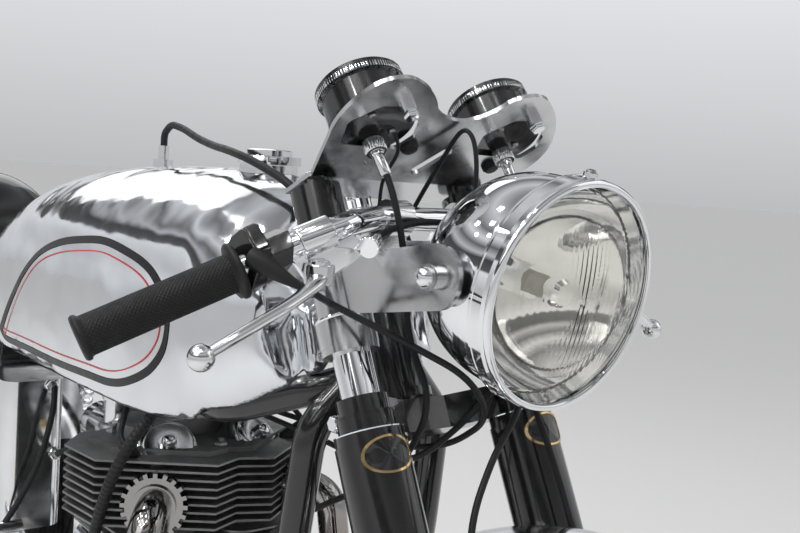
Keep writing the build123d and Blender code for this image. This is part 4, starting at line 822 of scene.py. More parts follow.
@dataclass
class Instruments:
    """Two clocks with plain generic dials, their knurled rims, backs and the plate's fasteners."""

    scale_marks: int = 12
    sweep: float = 270
    zero: float = 225
    bezel: Rows = (
        (37.6, 0),
        (39.8, 0),
        (40.2, 1),
        (40.2, 5.8),
        (39.6, 7.2),
        (38.5, 8.8),
        (36.2, 9.8),
        (34.5, 9.6),
        (33.8, 7.8),
    )

    def build(self) -> None:
        """Builds both clocks and the plate's trim."""
        self.build_clock("tachometer", -1, 80)
        self.build_clock("speedometer", 1, 120)
        self.build_plate_trim()

    def build_clock(self, name: str, side: int, top: int) -> None:
        """Builds one clock: knurled bezel, dial, numerals, needle and glass."""
        form = Form(name, CHROME, GLOSS_BLACK, DIAL, MARKS, LENS, STEEL)
        y = side * LAYOUT.gauge_y
        can, rim, dial, glass = (LAYOUT.gauge_frame(LAYOUT.gauge_v, y, h) for h in (4, 42, 51.1, 52.6))
        form.turn(rim, self.bezel, 0, 288, knurl(0.6, 96, 2, 3))
        form.turn(can, [(37.52, 12), (38.1, 12.5), (38.1, 14.5), (37.52, 15)], 1, 64)
        form.turn(dial, [(0, 0), (34.5, 0)], 2, 64)
        form.turn(dial, [(4.6, 0.6), (4.2, 0.6), (4.2, 3.6), (0, 3.6)], 1, 24)
        count = self.scale_marks * 4
        for mark in range(count + 1):
            inner, width = (28.5, 0.5) if mark % 4 else (25.8, 0.9)
            self.stroke(form, dial, self.zero - mark * self.sweep / count, (inner, 31.5), width)
        self.stroke(form, dial, self.zero, (-6, 26), 1.1, 1.6)
        form.turn(glass, [(0, 3.2), (12, 3), (24, 2.2), (34.6, 0.6)], 4, 64)
        for v, across in ((89, -96), (71, -62), (91, 57), (71, 95)):
            if across * side > 0:
                form.screw(LAYOUT.gauge_frame(v, across, 3.4, below=True), 3.6, 2.6, 5)
        form.done(Body.STEERING)
        self.numerals(name, dial, top)

    def stroke(
        self, form: Form, dial: Matrix, degrees: float, ends: Pair, width: float, lift: float = 0.35
    ) -> None:
        """Draws one thin raised bar on the dial."""
        inner, outer = ends
        turned = Matrix.Rotation(math.radians(degrees), 4, "Z")
        place = dial @ turned @ Matrix.Translation(mm(inner, -width / 2, lift))
        form.plate(place, [(0, 0), (outer - inner, 0), (outer - inner, width), (0, width)], 0.2, 3)

    def numerals(self, name: str, dial: Matrix, top: int) -> None:
        """Writes plain numbers round the dial."""
        marks = self.scale_marks // 2
        for count in range(marks + 1):
            curve = bpy.data.curves.new(f"{name}_number_{count}", "FONT")
            curve.body = str(top // marks * count)
            curve.size = 0.0068
            curve.align_x = curve.align_y = "CENTER"
            curve.extrude = 0.0001
            curve.materials.append(MARKS.shared())
            turn = math.radians(self.zero - count * self.sweep / marks)
            spot = Matrix.Translation(mm(math.cos(turn) * 20.8, math.sin(turn) * 20.8, 0.3))
            number = add_object(curve.name, curve)
            number.matrix_world = dial @ spot @ Matrix.Rotation(math.radians(-90), 4, "Z")
            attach(number, Body.STEERING.value)

    def build_plate_trim(self) -> None:
        """Adds the plate's bolts, rubber plugs, rivets and the knurled drive nuts."""
        form = Form("gauge_plate_trim", CHROME, STEEL, RUBBER, BRASS)
        for v, y in ((112, -76), (116, 77)):
            form.nut(LAYOUT.gauge_frame(v, y, -9, below=True), 12, 5.5, 0)
            form.turn(LAYOUT.gauge_frame(v, y, 4), [(0, 0), (6.2, 0), (5.5, 3), (0, 4.2)], 0, 24)
        # what is under the plate: where, its section, finish, steps and teeth
        plug = ((0, 0), (8.8, 0), (8.8, 3), (6.5, 6), (0, 7))
        drive = ((8.8, 1), (9.4, 2), (9.4, 12.5), (8.6, 13.8), (5, 14.2))
        under = (
            (57, -33, plug, 2, 28, None),
            (39, 87, plug, 2, 28, None),
            (26, -60, ((0, 0), (3, 0), (2.1, 1.8), (0, 2.4)), 1, 18, None),
            (59, 25, ((0, 0), (4, 0), (2.8, 1.8), (0, 2.4)), 1, 18, None),
            (60, -78, drive, 0, 104, knurl(0.5, 26, 1, 2)),
            (63, 80.5, drive, 0, 104, knurl(0.5, 26, 1, 2)),
        )
        for v, y, *shape in under:
            form.turn(LAYOUT.gauge_frame(v, y, 0, below=True), *shape)
        for side in SIDES:
            form.disc(LAYOUT.fork_frame(0, side * LAYOUT.leg_y, 684), 11, 0, 1.4, 1, 28)
        form.done(Body.STEERING)


# Handlebar controls


@dataclass
class Controls:
    """Knurled grips, hand levers, the throttle's housing and the clamps' screws."""

    grip_r: float = 16.5
    diamonds: int = 28
    knurl_rows: int = 196
    knurl_step: float = 0.62
    ball_r: float = 10.6
    lever_line: tuple[Point, ...] = (
        (505, 150, 868),
        (519, 164, 861),
        (530, 192, 849),
        (535, 220, 837),
        (535, 246, 824),
        (531, 271, 810),
    )
    # the throttle housing's sections, ahead of the bar and above it
    wall: Rows = (
        (-29, 0),
        (-27, 15),
        (-19, 24),
        (-5, 32),
        (2, 31.5),
        (22, 15),
        (25, 3),
        (19, -14),
        (3, -24),
        (-16, -18),
    )
    lip: Rows = ((-4, 31), (-2, 33.4), (4, 32.5), (21.4, 17.5), (20, 15))
    neck: Rows = ((-17, 7), (-7, 19), (9, 19), (19, 7), (19, -7), (7, -19), (-9, -19), (-19, -7))
    # corners of the right perch and of the lug on it
    perch: tuple[Point, ...] = (
        (484, -168, 880),
        (489, -160, 892),
        (499, -116, 904),
        (515, -108, 889),
        (503, -122, 880),
        (496, -140, 884),
        (490, -162, 873),
        (505, -122, 873),
        (493, -150, 855),
        (478, -158, 872),
        (492, -118, 886),
    )
    lug: tuple[Point, ...] = (
        (485, -158, 886),
        (491, -158, 886),
        (484, -157, 899),
        (491, -157, 899),
        (487, -157, 903),
        (486, -150, 888),
        (492, -150, 888),
        (485, -150, 899),
        (492, -150, 899),
        (488, -150, 903),
    )

    def build(self) -> None:
        """Builds both grips, both levers and the housings."""
        self.build_grips()
        self.build_levers()
        self.build_housings()
        self.build_fasteners()

    def build_grips(self) -> None:
        """Turns each grip with a diamond pattern cut into its rubber."""
        form = Form("knurled_grips", RUBBER)
        flange = [(11.2, 0), (22.5, 0), (24, 1.2), (24, 4.2), (22.6, 5.8), (17.2, 7.2)]
        middle = [(self.grip_r, 8.5 + row * self.knurl_step) for row in range(self.knurl_rows)]
        end = [(17.2, 130.8), (18.8, 132), (19, 134.5), (17.6, 136.6), (15, 137), (0, 137)]
        steps = self.diamonds * 6

        def cut(angle: float, row: int) -> float:
            """Cuts the lines that cross as diamonds."""
            run = row - len(flange)
            step = round(angle * steps / TURN)
            crossing = (step + run) % 6 == 0 or (step - run) % 6 == 0
            return -0.9 if crossing and 0 <= run < self.knurl_rows else 0.0

        for side in SIDES:
            form.turn(LAYOUT.grip_frame(side, 0), [*flange, *middle, *end], 0, steps, cut)
        form.done(Body.STEERING, "grips", crease=70)

    def build_levers(self) -> None:
        """Sweeps each lever as a flattened blade with a ball end."""
        form = Form("lever_blades", POLISHED)
        for side in SIDES:
            path = smooth_path([(x, side * y, z) for x, y, z in self.lever_line], 8)
            last = len(path) - 1
            rows = []
            for index, place in enumerate(path):
                ahead = (path[min(index + 1, last)] - path[max(index - 1, 0)]).normalized()
                across = ahead.cross(UP).normalized()
                wide = across * (8.5 - 3 * min(index / last * 1.6, 1)) / 1000
                thick = across.cross(ahead) * (5 - 0.8 * index / last) / 1000
                rows.append([place + wide * math.cos(turn) + thick * math.sin(turn) for turn in turns(20)])
            form.face(form.net(rows)[0][::-1])
            half = [math.pi * step / 14 for step in range(1, 14)]
            ball = [(self.ball_r * math.sin(turn), -self.ball_r * math.cos(turn)) for turn in half]
            ball = [(0, -self.ball_r), *ball, (0, self.ball_r)]
            form.turn(frame_at(path[-1], path[-1] - path[-3]), ball, 0, 28)
        form.done(Body.STEERING, "hand_levers")

    def build_housings(self) -> None:
        """Builds the throttle's housing and both levers' perches."""
        form = Form("bar_fittings", GLOSS_BLACK, POLISHED)
        for section, ends in ((self.wall, (-14, -1)), (self.lip, (-12, -2)), (self.neck, (-37, -14))):
            bar = [LAYOUT.grip_frame(-1, out).translation for out in ends]
            form.hull([place + mm(ahead, 0, up) for place in bar for ahead, up in section], 0)
        for side in SIDES:
            for block in (self.perch, self.lug):
                form.hull([mm(x, -side * y, z) for x, y, z in block], 1)
            clamp = [(10.8, 0), (13.8, 0), (14.6, 1), (14.6, 30), (13.8, 31), (10.8, 31)]
            form.turn(LAYOUT.grip_frame(side, -84), clamp, 1, 40)
            barrel = [(0, 0), (11.6, 0), (12.6, 1), (12.6, 16.5), (11.6, 17.5), (0, 17.5)]
            form.turn(frame_at(mm(505, side * 150, 859), UP), barrel, 1, 36)
        form.done(Body.STEERING, "bar_controls", bevel=1.8)

    def build_fasteners(self) -> None:
        """Adds the screws, adjusters, ferrules and the throttle cable's boot."""
        form = Form("bar_fasteners", STEEL, CHROME, RUBBER)
        boot = smooth_path([(487, -204, 880), (493, -201, 877.5), (511, -188, 866), (524, -172, 856)], 8)
        form.tube(boot, [9.2 - 6.2 * ease(step, 7, 23) for step in range(len(boot))], 2, 24)
        form.tube([boot[-1], boot[-1] + (boot[-1] - boot[-2]).normalized() * 0.004], [4.3, 4.0], 2, 20)
        form.tube(smooth_path([(524, -172, 856), (515, -153, 849), (502, -137, 843.5)]), 2.6, 2, 12)
        for side in SIDES:
            form.screw(frame_at(mm(491.5, side * 156, 886), Vector((-0.30, 0.0, 0.95))), 5.6, 3.6, 0)
            hole = frame_at(mm(490.5, side * 158.5, 898.5), Vector((0.62, side * 0.78, 0.1)))
            form.turn(hole, [(4.6, 0), (4.6, 1), (2.4, 1.2), (2.4, -0.5)], 0, 20)
            pivot = [(0, 0), (8.5, 0), (8.5, 2.2), (6.8, 3.4), (0, 3.6)]
            form.turn(frame_at(mm(505, side * 150, 876.2), UP), pivot, 1, 28)
            form.nut(frame_at(mm(505, side * 150, 859.4), -UP), 11, 5, 0)
        collar = [(0, 0), (8.8, 0), (9.2, 1), (9.2, 6), (8, 7), (4.8, 7.2)]
        adjusters = (
            (mm(521.5, -114.3, 891.1), Vector((-0.52, 0.80, 0.30))),
            (mm(505.5, 134.5, 860), Vector((0.20, -0.62, -0.74))),
        )
        for start, line in adjusters:
            form.turn(frame_at(start, line), collar, 1, 96, knurl(0.6, 24, 2, 3))
            form.turn(frame_at(start, line), [(4.8, 7), (4.8, 19), (4, 20), (4, 27), (3.3, 27.5)], 1, 24)
        form.done(Body.STEERING)


@dataclass
class FrontWires:
    """The thin wires behind the lamp, the drive cables' ferrules and the stem's knob."""

    # each wire's radius and its route, from the part it leaves to the one it enters
    wires: tuple[tuple[float, tuple[Point, ...]], ...] = (
        (1.7, ((451, -48, 921), (457, -50, 948), (476, -51, 974), (480, -59, 991))),
        (
            2.2,
            (
                (437, 6, 887),
                (428, 6, 905),
                (442, 4, 926),
                (477, 2, 970),
                (500, 2, 996),
                (513, 4, 992),
                (519, 6, 968),
                (515, 12, 930),
                (512, 24, 908),
                (521, 28, 899),
            ),
        ),
        (
            2.6,
            (
                (560, -40, 905),
                (520, -20, 918),
                (480, 10, 912),
                (446, 40, 880),
                (436, 62, 858),
                (438, 80, 849),
            ),
        ),
    )
    ferrule: Rows = ((6, 0), (6, 2), (5.2, 3), (5.2, 22), (4.4, 23.5), (3.1, 24))
    knob: Rows = (
        (0, 0),
        (14.5, 0),
        (14.5, 5),
        (10, 7),
        (10, 13),
        (13.2, 15),
        (13.2, 19),
        (11.4, 21),
        (11.4, 30),
        (14.6, 32),
        (15, 37),
        (12.6, 40.6),
        (6, 41.2),
        (5.4, 39.6),
        (0, 39.6),
    )

    def build(self) -> None:
        """Builds the wires, ferrules and knob."""
        form = Form("front_wires", RUBBER, CHROME)
        for radius, route in self.wires:
            form.tube(smooth_path(route, 8), radius, 0, 8)
        for v, y, toward in ((60, -78, (500, -76, 944)), (63, 80.5, (503, 79, 944))):
            start = LAYOUT.on_gauge(v, y, -14)
            form.turn(frame_at(start, mm(*toward) - start), self.ferrule, 1, 28)
        form.turn(LAYOUT.fork_frame(-51, 0, 657), self.knob, 1, 48)
        form.done(Body.STEERING, crease=30)


@dataclass
class CrossingCables:
    """The control cables that cross the steering, bent between the bars and the frame."""

    packed: bpy.types.Object
    leaves_bars: Point = (0.540, 0.0, 0.775)
    joins_frame: Point = (0.420, 0.0, 0.685)

    def build(self) -> None:
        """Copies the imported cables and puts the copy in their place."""
        cables = copy_packed(self.packed, "bending_cables", RUBBER)
        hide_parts("crossing_cables")
        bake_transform(cables)


# Tank


@dataclass
class Tank:
    """The beaten tank's skin, its painted lines and the cap's seal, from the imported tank's own mesh."""

    packed: bpy.types.Object
    # the mesh's cell and the knee recess's depth, in metres
    cell: float = 0.0045
    recess: float = 0.011
    # along the bike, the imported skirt's lower edge, how low the beaten one hangs and where its wall starts
    skirt: tuple[tuple[float, float, float, float], ...] = (
        (-400, 690, 676, 108),
        (160, 690, 676, 108),
        (200, 692, 678, 108),
        (240, 697, 683, 108),
        (260, 703, 688, 108),
        (280, 708, 694, 108),
        (300, 724, 700, 108),
        (320, 736, 708, 98),
        (340, 744, 717, 88),
        (360, 755, 729, 78),
        (380, 768, 742, 64),
        (400, 779, 757, 50),
        (420, 788, 772, 50),
    )
    # the middle of the black band in the bike's side view
    panel: Rows = (
        (-268, 705),
        (-246, 694),
        (-150, 696),
        (-47, 697),
        (49, 700),
        (108, 702),
        (154, 712),
        (199, 732),
        (226, 758),
        (233, 785),
        (224, 810),
        (205, 826),
        (178, 840),
        (138, 850),
        (73, 858),
        (7, 854),
        (-58, 845),
        (-116, 828),
        (-162, 799),
        (-213, 757),
        (-251, 720),
    )
    # how far inside the band's middle each painted line starts, its width and its finish
    lines: tuple[tuple[float, float, int], ...] = ((-4.5, 9.0, 0), (12.2, 1.7, 1))

    def build(self) -> None:
        """Builds the skin, then lays its lines and the cap's seal on it."""
        skin = self.build_skin()
        self.tree = BVHTree.FromObject(skin, bpy.context.evaluated_depsgraph_get())
        self.build_lines()
        self.build_cap()

    def build_skin(self) -> bpy.types.Object:
        """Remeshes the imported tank, presses the knee recesses in and draws the front skirts down."""
        skin = copy_packed(self.packed, "tank_skin", BEATEN)
        modify(skin, "remesh", "REMESH", mode="VOXEL", voxel_size=self.cell)
        modify(skin, "softening", "SMOOTH", factor=0.5, iterations=8)
        bake(skin)
        for vertex in skin.data.vertices:
            vertex.co = self.press(vertex.co)
        modify(skin, "evening", "SMOOTH", factor=0.5, iterations=8)
        bake(skin)
        shade_smooth(skin)
        skin.data.update()
        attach(skin, Body.FRAME.value)
        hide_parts("fuel_tank")
        return skin

    def press(self, place: Vector) -> Vector:
        """Moves one place of the skin to the beaten shape."""
        x, y, z = place
        own, wanted, wall = self.skirt_at(x * 1000)
        drop = (own - wanted) * ease(own + 0.100 - z, 0.0, 0.090) * ease(abs(y), wall, wall + 0.010)
        along = ease(x, -0.330, -0.200) * ease(-x, -0.285, -0.225)
        depth = self.recess * along * ease(-z, -0.885, -0.830) * ease(abs(y), 0.090, 0.135)
        return Vector((x, y - math.copysign(depth, y), z - drop))

    def skirt_at(self, along: float) -> tuple[float, float, float]:
        """The skirt's packed edge, wanted edge and wall at a place along the bike, in metres."""
        for start, end in zip(self.skirt, self.skirt[1:]):
            if along <= end[0]:
                break
        share = (along - start[0]) / (end[0] - start[0])
        return tuple((low + (high - low) * share) / 1000 for low, high in zip(start[1:], end[1:]))

    def build_lines(self) -> None:
        """Lays the black band and the red pin line on both sides."""
        form = Form("tank_lines", STRIPE_BLACK, PIN_RED)
        line = smooth_path([(x, 0, z) for x, z in (*self.panel, self.panel[0])])[:-1]
        around = list(zip(line, [*line[1:], line[0]], [line[-1], *line[:-1]]))
        for side in SIDES:
            for inner, width, slot in self.lines:
                rows = []
                for inset in (inner + width * part / 3 for part in range(4)):
                    row = []
                    for place, after, before in around:
                        ahead = (after - before).normalized()
                        row.append(self.drop(place + Vector((-ahead.z, 0, ahead.x)) * inset / 1000, side))
                    rows.append(row)
                form.net(rows, slot)
        form.done(Body.FRAME, crease=180)

    def drop(self, place: Vector, side: int) -> Vector:
        """Puts a place of the side view on the tank's skin, a hair above it."""
        start = Vector((place.x, side * 0.4, place.z))
        spot, normal, _, _ = self.tree.ray_cast(start, LEFT * -side)
        if spot is None:
            spot, normal, _, _ = self.tree.find_nearest(start)
        return spot + normal * 0.0006

    def build_cap(self) -> None:
        """Adds the cap's bead and the neck's knurled seal."""
        form = Form("cap_trim", CHROME, RUBBER)
        top = frame_at(mm(191, 0, 972), UP)
        form.turn(top, [(26.2, -0.8), (26.2, 0.4), (24, 1.6), (12, 2.4), (0, 2.6)])
        seal = [(35.5, -15), (35.5, -6.8), (34.5, -5.6), (33, -5.8)]
        form.turn(top, seal, wave=knurl(0.6, 24, 0, 1))
        form.done(Body.LID)


# Engine


@dataclass
class EngineTrim:
    """Screws round the covers, plain nuts, spark plugs, carburettor fittings and hoses."""

    # centre x and z, radius, y of the face, side, how many and first angle of each ring of cover screws
    screw_rings: tuple[tuple[float, ...], ...] = (
        (84, 318, 78, 92.4, -1, 8, 20),
        (146, 384, 36, 92.4, -1, 3, -30),
        (84, 318, 84, 106.4, 1, 9, 40),
        (-98, 335, 70, 106.4, 1, 8, 100),
    )
    head_studs: tuple[Point, ...] = (
        (6, 30, 638.5),
        (6, -30, 638.5),
        (120, 0, 612.5),
        (60, 0, 638.5),
        (10, 88, 612.5),
        (10, -88, 612.5),
    )
    rocker_dish: Rows = (
        (35.6, 5.5),
        (35.8, 7.8),
        (34.2, 9.2),
        (30.2, 9.8),
        (29.6, 15.4),
        (27.8, 17.2),
        (20, 17.6),
        (12.5, 17.2),
    )
    # the frame rail to the timing cover
    breather: tuple[Point, ...] = (
        (162, -106, 690),
        (166, -120, 672),
        (164, -140, 645),
        (147, -150, 607),
        (130, -152, 574),
        (107, -150, 532),
        (88, -148, 480),
        (78, -138, 430),
        (73, -115, 396),
        (72, -93, 385),
    )
    # the oil tank to the gearbox
    return_line: tuple[Point, ...] = (
        (-182, -88, 640),
        (-168, -90, 634),
        (-160, -96, 600),
        (-162, -110, 540),
        (-163, -134, 490),
        (-160, -158, 452),
        (-160, -139, 440),
    )
    # the oil tank to the cylinder head
    rocker_feed: tuple[Point, ...] = (
        (-183, -80, 542),
        (-168, -81, 546),
        (-130, -84, 562),
        (-90, -82, 585),
        (-50, -78, 600),
        (-22, -75.5, 605),
        (-6, -75, 605),
    )

    def build(self) -> None:
        """Builds the engine's small pieces."""
        form = Form("engine_trim", STEEL, CHROME, RUBBER, BRASS, POLISHED)
        for x, z, radius, y, side, count, first in self.screw_rings:
            for index in range(count):
                turn = math.radians(first + index * 250 / (count - 1))
                place = beside(side, x + radius * math.cos(turn), y, z + radius * math.sin(turn))
                form.screw(place, 5.8, 4, 0)
        for stud in self.head_studs:
            form.nut(frame_at(mm(*stud), UP), 15, 9, 0)
            form.turn(frame_at(mm(*stud), UP), [(4, 0), (4, 13), (0, 13.5)], 0, 14)
        for side in SIDES:
            self.rocker_cover(form, side)
            self.plug(form, side)
            self.carburettor(form, side)
        self.hose(form, self.breather, 6.4, 0.5)
        self.hose(form, self.return_line, 4.2)
        self.hose(form, self.rocker_feed, 4.2)
        form.done(Body.FRAME)

    def rocker_cover(self, form: Form, side: int) -> None:
        """Adds a dished cover with its washer and domed nut."""
        axis = Vector((0.66, side * 0.30, 0.69)).normalized()
        centre = mm(96, side * 58, 610)
        form.turn(frame_at(centre, axis), self.rocker_dish, 4, 64)
        place = frame_at(centre + axis * 0.0165, axis)
        form.bolt(place, (12.5, 1.6), (17.5, 7), (1, 1), 32)
        form.turn(place, [(7.8, 8.6), (7.6, 11), (6.2, 13.6), (3.6, 15.2), (0, 15.8)], 1, 28)

    def plug(self, form: Form, side: int) -> None:
        """Adds a spark plug with its cap and lead."""
        axis = Vector((0.45, side * 0.62, 0.64)).normalized()
        root = Vector((98, side * 100, 606))
        place = frame_at(root / 1000, axis)
        form.disc(place, 9.5, 0, 4, 0, 6)
        form.turn(place, [(5.8, 4), (8.5, 7), (8.5, 22), (7.4, 24), (7.4, 36), (5.5, 40), (0, 41)], 2, 24)
        x, y, z = root + axis * 39
        lead = [(x, y, z), (x - 16, y - side * 4, z + 14), (x - 55, side * 85, 690), (20, side * 50, 698)]
        form.tube(smooth_path(lead, 7), 3.4, 2, 10)

    def carburettor(self, form: Form, side: int) -> None:
        """Adds a carburettor's bowl screws and its banjo union."""
        for x in (-108, -72):
            form.screw(frame_at(mm(x, side * 50, 540), -UP), 3.4, 2.6, 0)
        form.bolt(beside(side, -90, 57.5, 560), (7.5, 9), (12, 5), (3, 1), 24)

    def hose(self, form: Form, route: tuple[Point, ...], radius: float, ridge: float = 0.0) -> None:
        """Lays a hose on the right, smooth or ribbed, with a union at each end."""
        path = smooth_path(route, 18)
        form.tube(path, [radius + (ridge if index % 3 else -ridge) for index in range(len(path))], 2, 16)
        wide, narrow = radius + 3, radius + 1.6
        union = [(0, -2), (wide, -2), (wide, 3), (narrow, 5), (narrow, 12), (radius, 13)]
        for end, after in (path[:2], path[:-3:-1]):
            place = frame_at(end, after - end)
            form.turn(place, union, 0, 24)
            form.nut(place, 2 * radius + 8, 5, 1)


# Seat, chain and rear end


@dataclass
class Seat:
    """A thin quilted pad in front of the hump, with its sewn ribs and piping, its sizes in metres."""

    front: float = -0.402
    rear: float = -0.580
    half_width: float = 0.0965
    low: float = 0.7575
    front_high: float = 0.7985
    rear_high: float = 0.8110
    front_corner: float = 0.024
    rear_corner: float = 0.012
    cell: float = 0.006
    loft: float = 0.004

    def build(self) -> None:
        """Builds the cushion, its ribs and its piping."""
        self.build_cushion()
        form = Form("seat_piping", LEATHER, THREAD)
        for level, radius in ((0.90, 2.2), (0.10, 2.0)):
            edge = [self.raised(x, y, level) for x, y in self.outline()]
            form.tube([*edge, edge[0]], radius, 0, 8)
        form.done(Body.FRAME)

    def top_at(self, x: float) -> float:
        """Gives the pad's height before it's stuffed."""
        share = (self.front - x) / (self.front - self.rear)
        return self.front_high + (self.rear_high - self.front_high) * share

    def raised(self, x: float, y: float, level: float, grow: float = 0.0) -> Vector:
        """Gives a place over the outline at a share of the pad's height, moved out or in."""
        z = self.low + (self.top_at(x) - self.low) * level
        middle = (self.front + self.rear) / 2
        return Vector((x - grow if x > middle else x + grow, y + grow if y > 0 else y - grow, z))

    def outline(self) -> list[tuple[float, float]]:
        """Gives the pad's rounded outline in plan."""
        points = []
        for start in range(0, 360, 90):
            at_front = start in (0, 270)
            radius = self.front_corner if at_front else self.rear_corner
            x = self.front - radius if at_front else self.rear + radius
            y = (self.half_width - radius) * (1 if start < 180 else -1)
            for turn in (math.radians(start + step * 15) for step in range(7)):
                points.append((x + radius * math.cos(turn), y + radius * math.sin(turn)))
        return points

    def build_cushion(self) -> None:
        """Stuffs a closed cover with a short cloth run, then sews ribs across it."""
        form = Form("seat_cushion", LEATHER)
        levels = ((0.0, -0.003), (0.2, 0.0), (0.75, 0.0), (0.93, -0.003), (1.0, -0.009))
        edge = self.outline()
        rings = form.net([[self.raised(x, y, level, grow) for x, y in edge] for level, grow in levels])
        form.face(rings[0][::-1])
        form.face(rings[-1])
        cushion = form.done(Body.FRAME, "seat_pad", crease=180)
        modify(cushion, "remesh", "REMESH", mode="VOXEL", voxel_size=self.cell)
        bake(cushion)
        self.stuff(cushion)
        for vertex in cushion.data.vertices:
            self.sew(vertex)
        shade_smooth(cushion)
        modify(cushion, "smoothing", "SUBSURF", levels=1, render_levels=1)

    def stuff(self, cushion: bpy.types.Object) -> None:
        """Inflates the cover a little, no further than its loft."""
        start = [vertex.co.copy() for vertex in cushion.data.vertices]
        settings = modify(cushion, "cloth", "CLOTH").settings
        settings.use_pressure = True
        settings.uniform_pressure_force = 4.0
        settings.effector_weights.gravity = 0.0
        settings.tension_stiffness = settings.compression_stiffness = 40.0
        for frame_number in range(1, 21):
            bpy.context.scene.frame_set(frame_number)
        bake(cushion)
        bpy.context.scene.frame_set(1)
        for vertex, rest in zip(cushion.data.vertices, start):
            moved = vertex.co - rest
            vertex.co = rest + (moved.normalized() * self.loft if moved.length > self.loft else moved)

    def sew(self, vertex: bpy.types.MeshVertex) -> None:
        """Keeps the pad on its tray and pulls the top down along the seams."""
        x, y, z = vertex.co
        low, high = self.low + 0.0004, self.top_at(x)
        z = max(z, low)
        y = max(-self.half_width, min(self.half_width, y))
        x = max(self.rear - 0.002, min(self.front - 0.001, x))
        if (z - low) / (high - low) > 0.8:
            phase = abs(((self.front - x) / 0.026) % 1 - 0.5)
            inner = max(0.0, min(1.0, (self.half_width - 0.014 - abs(y)) / 0.008))
            z -= 0.0035 * inner * max(0.0, 1 - (0.5 - phase) / 0.16)
        vertex.co = (x, y, z)


@dataclass
class Chain:
    """A roller chain of real links round both sprockets, its sizes in metres."""

    front: Vector = held(-0.098, 0.066, 0.335)
    rear: Vector = held(-0.701, 0.066, 0.363)
    front_r: float = 0.0395
    rear_r: float = 0.0965
    pitch: float = 0.0158

    def path(self) -> list[Vector]:
        """Gives the pin places round both sprockets."""
        line = self.front - self.rear
        bearing = math.atan2(line.z, line.x)
        opening = math.acos((self.rear_r - self.front_r) / line.length)
        loop = []
        for hub, radius, start, sweep in (
            (self.rear, self.rear_r, opening, TURN - 2 * opening),
            (self.front, self.front_r, -opening, 2 * opening),
        ):
            for turn in (bearing + start + sweep * step / 60 for step in range(61)):
                loop.append(hub + Vector((math.cos(turn), 0, math.sin(turn))) * radius)
        loop.append(loop[0])
        lengths = [0.0]
        for start, end in zip(loop, loop[1:]):
            lengths.append(lengths[-1] + (end - start).length)
        count = round(lengths[-1] / self.pitch / 2) * 2
        pins = []
        at = 0
        for goal in (lengths[-1] * index / count for index in range(count)):
            while lengths[at + 1] < goal:
                at += 1
            pins.append(loop[at].lerp(loop[at + 1], (goal - lengths[at]) / (lengths[at + 1] - lengths[at])))
        return pins

    def build(self) -> None:
        """Builds each link's plates, rollers and pins."""
        form = Form("roller_chain", STEEL, CHROME)
        pins = self.path()
        for index, (pin, after) in enumerate(zip(pins, [*pins[1:], pins[0]])):
            gap = 5.2 if index % 2 else 3.6
            for side in SIDES:
                self.link_plate(form, pin, after, side, gap)
            place = frame_at(pin, LEFT)
            form.disc(place, 1.8, -6.6, 6.6, 0, 8)
            form.turn(place, [(1.8, -3), (4.2, -3), (4.2, 3), (1.8, 3)], 1, 12)
        form.done(Body.FRAME, "drive_chain")

    def link_plate(self, form: Form, pin: Vector, after: Vector, side: int, gap: float) -> None:
        """Adds one waisted side plate between two pins."""
        span = (after - pin).length * 1000
        outline = []
        for centre, start, waist in ((span, -90, 3.4), (0.0, 90, -3.4)):
            for turn in (math.radians(start + step * 30) for step in range(7)):
                outline.append((centre + 4.6 * math.cos(turn), 4.6 * math.sin(turn)))
            outline.append((span / 2, waist))
        form.plate(frame_at(pin + mm(0, side * gap, 0), LEFT * side, after - pin), outline, 1.4)


@dataclass
class RearTrim:
    """Axle nuts, shock nuts and the tail lamp's ribbed lens."""

    lens_r: float = 27.2
    rings: int = 40

    def build(self) -> None:
        """Builds the small pieces of the rear end."""
        form = Form("rear_trim", CHROME, STEEL, GLOSS_BLACK)
        for side in SIDES:
            form.bolt(beside(side, -701, 106, 363), (16, 2.5), (26, 12), (1, 0), 32)
            for x, z in ((-640, 372), (-540, 708)):
                form.bolt(beside(side, x, 144, z), (12.5, 2), (17, 8), (1, 0), 28)
        form.done(Body.FRAME)
        form = Form("tail_lamp_lens", TAIL_LENS, CHROME)
        place = frame_at(mm(-905, 0, 800), -AHEAD)
        rows = [(self.lens_r, -4)]
        for step in range(self.rings):
            radius = self.lens_r * (1 - step / (self.rings - 1))
            rise = 6.5 * math.sqrt(max(0.0, 1 - (radius / 27.5) ** 2))
            rows.append((radius, rise + (0.4 if step % 4 < 2 else 0.0)))
        form.turn(place, rows, 0, 64)
        form.turn(place, [(30.2, -6), (30.8, -4), (30.8, 0.5), (29.8, 1.8), (27.8, 1.4), (27.2, -2)], 1, 64)
        form.done(Body.FRAME)


# Studio


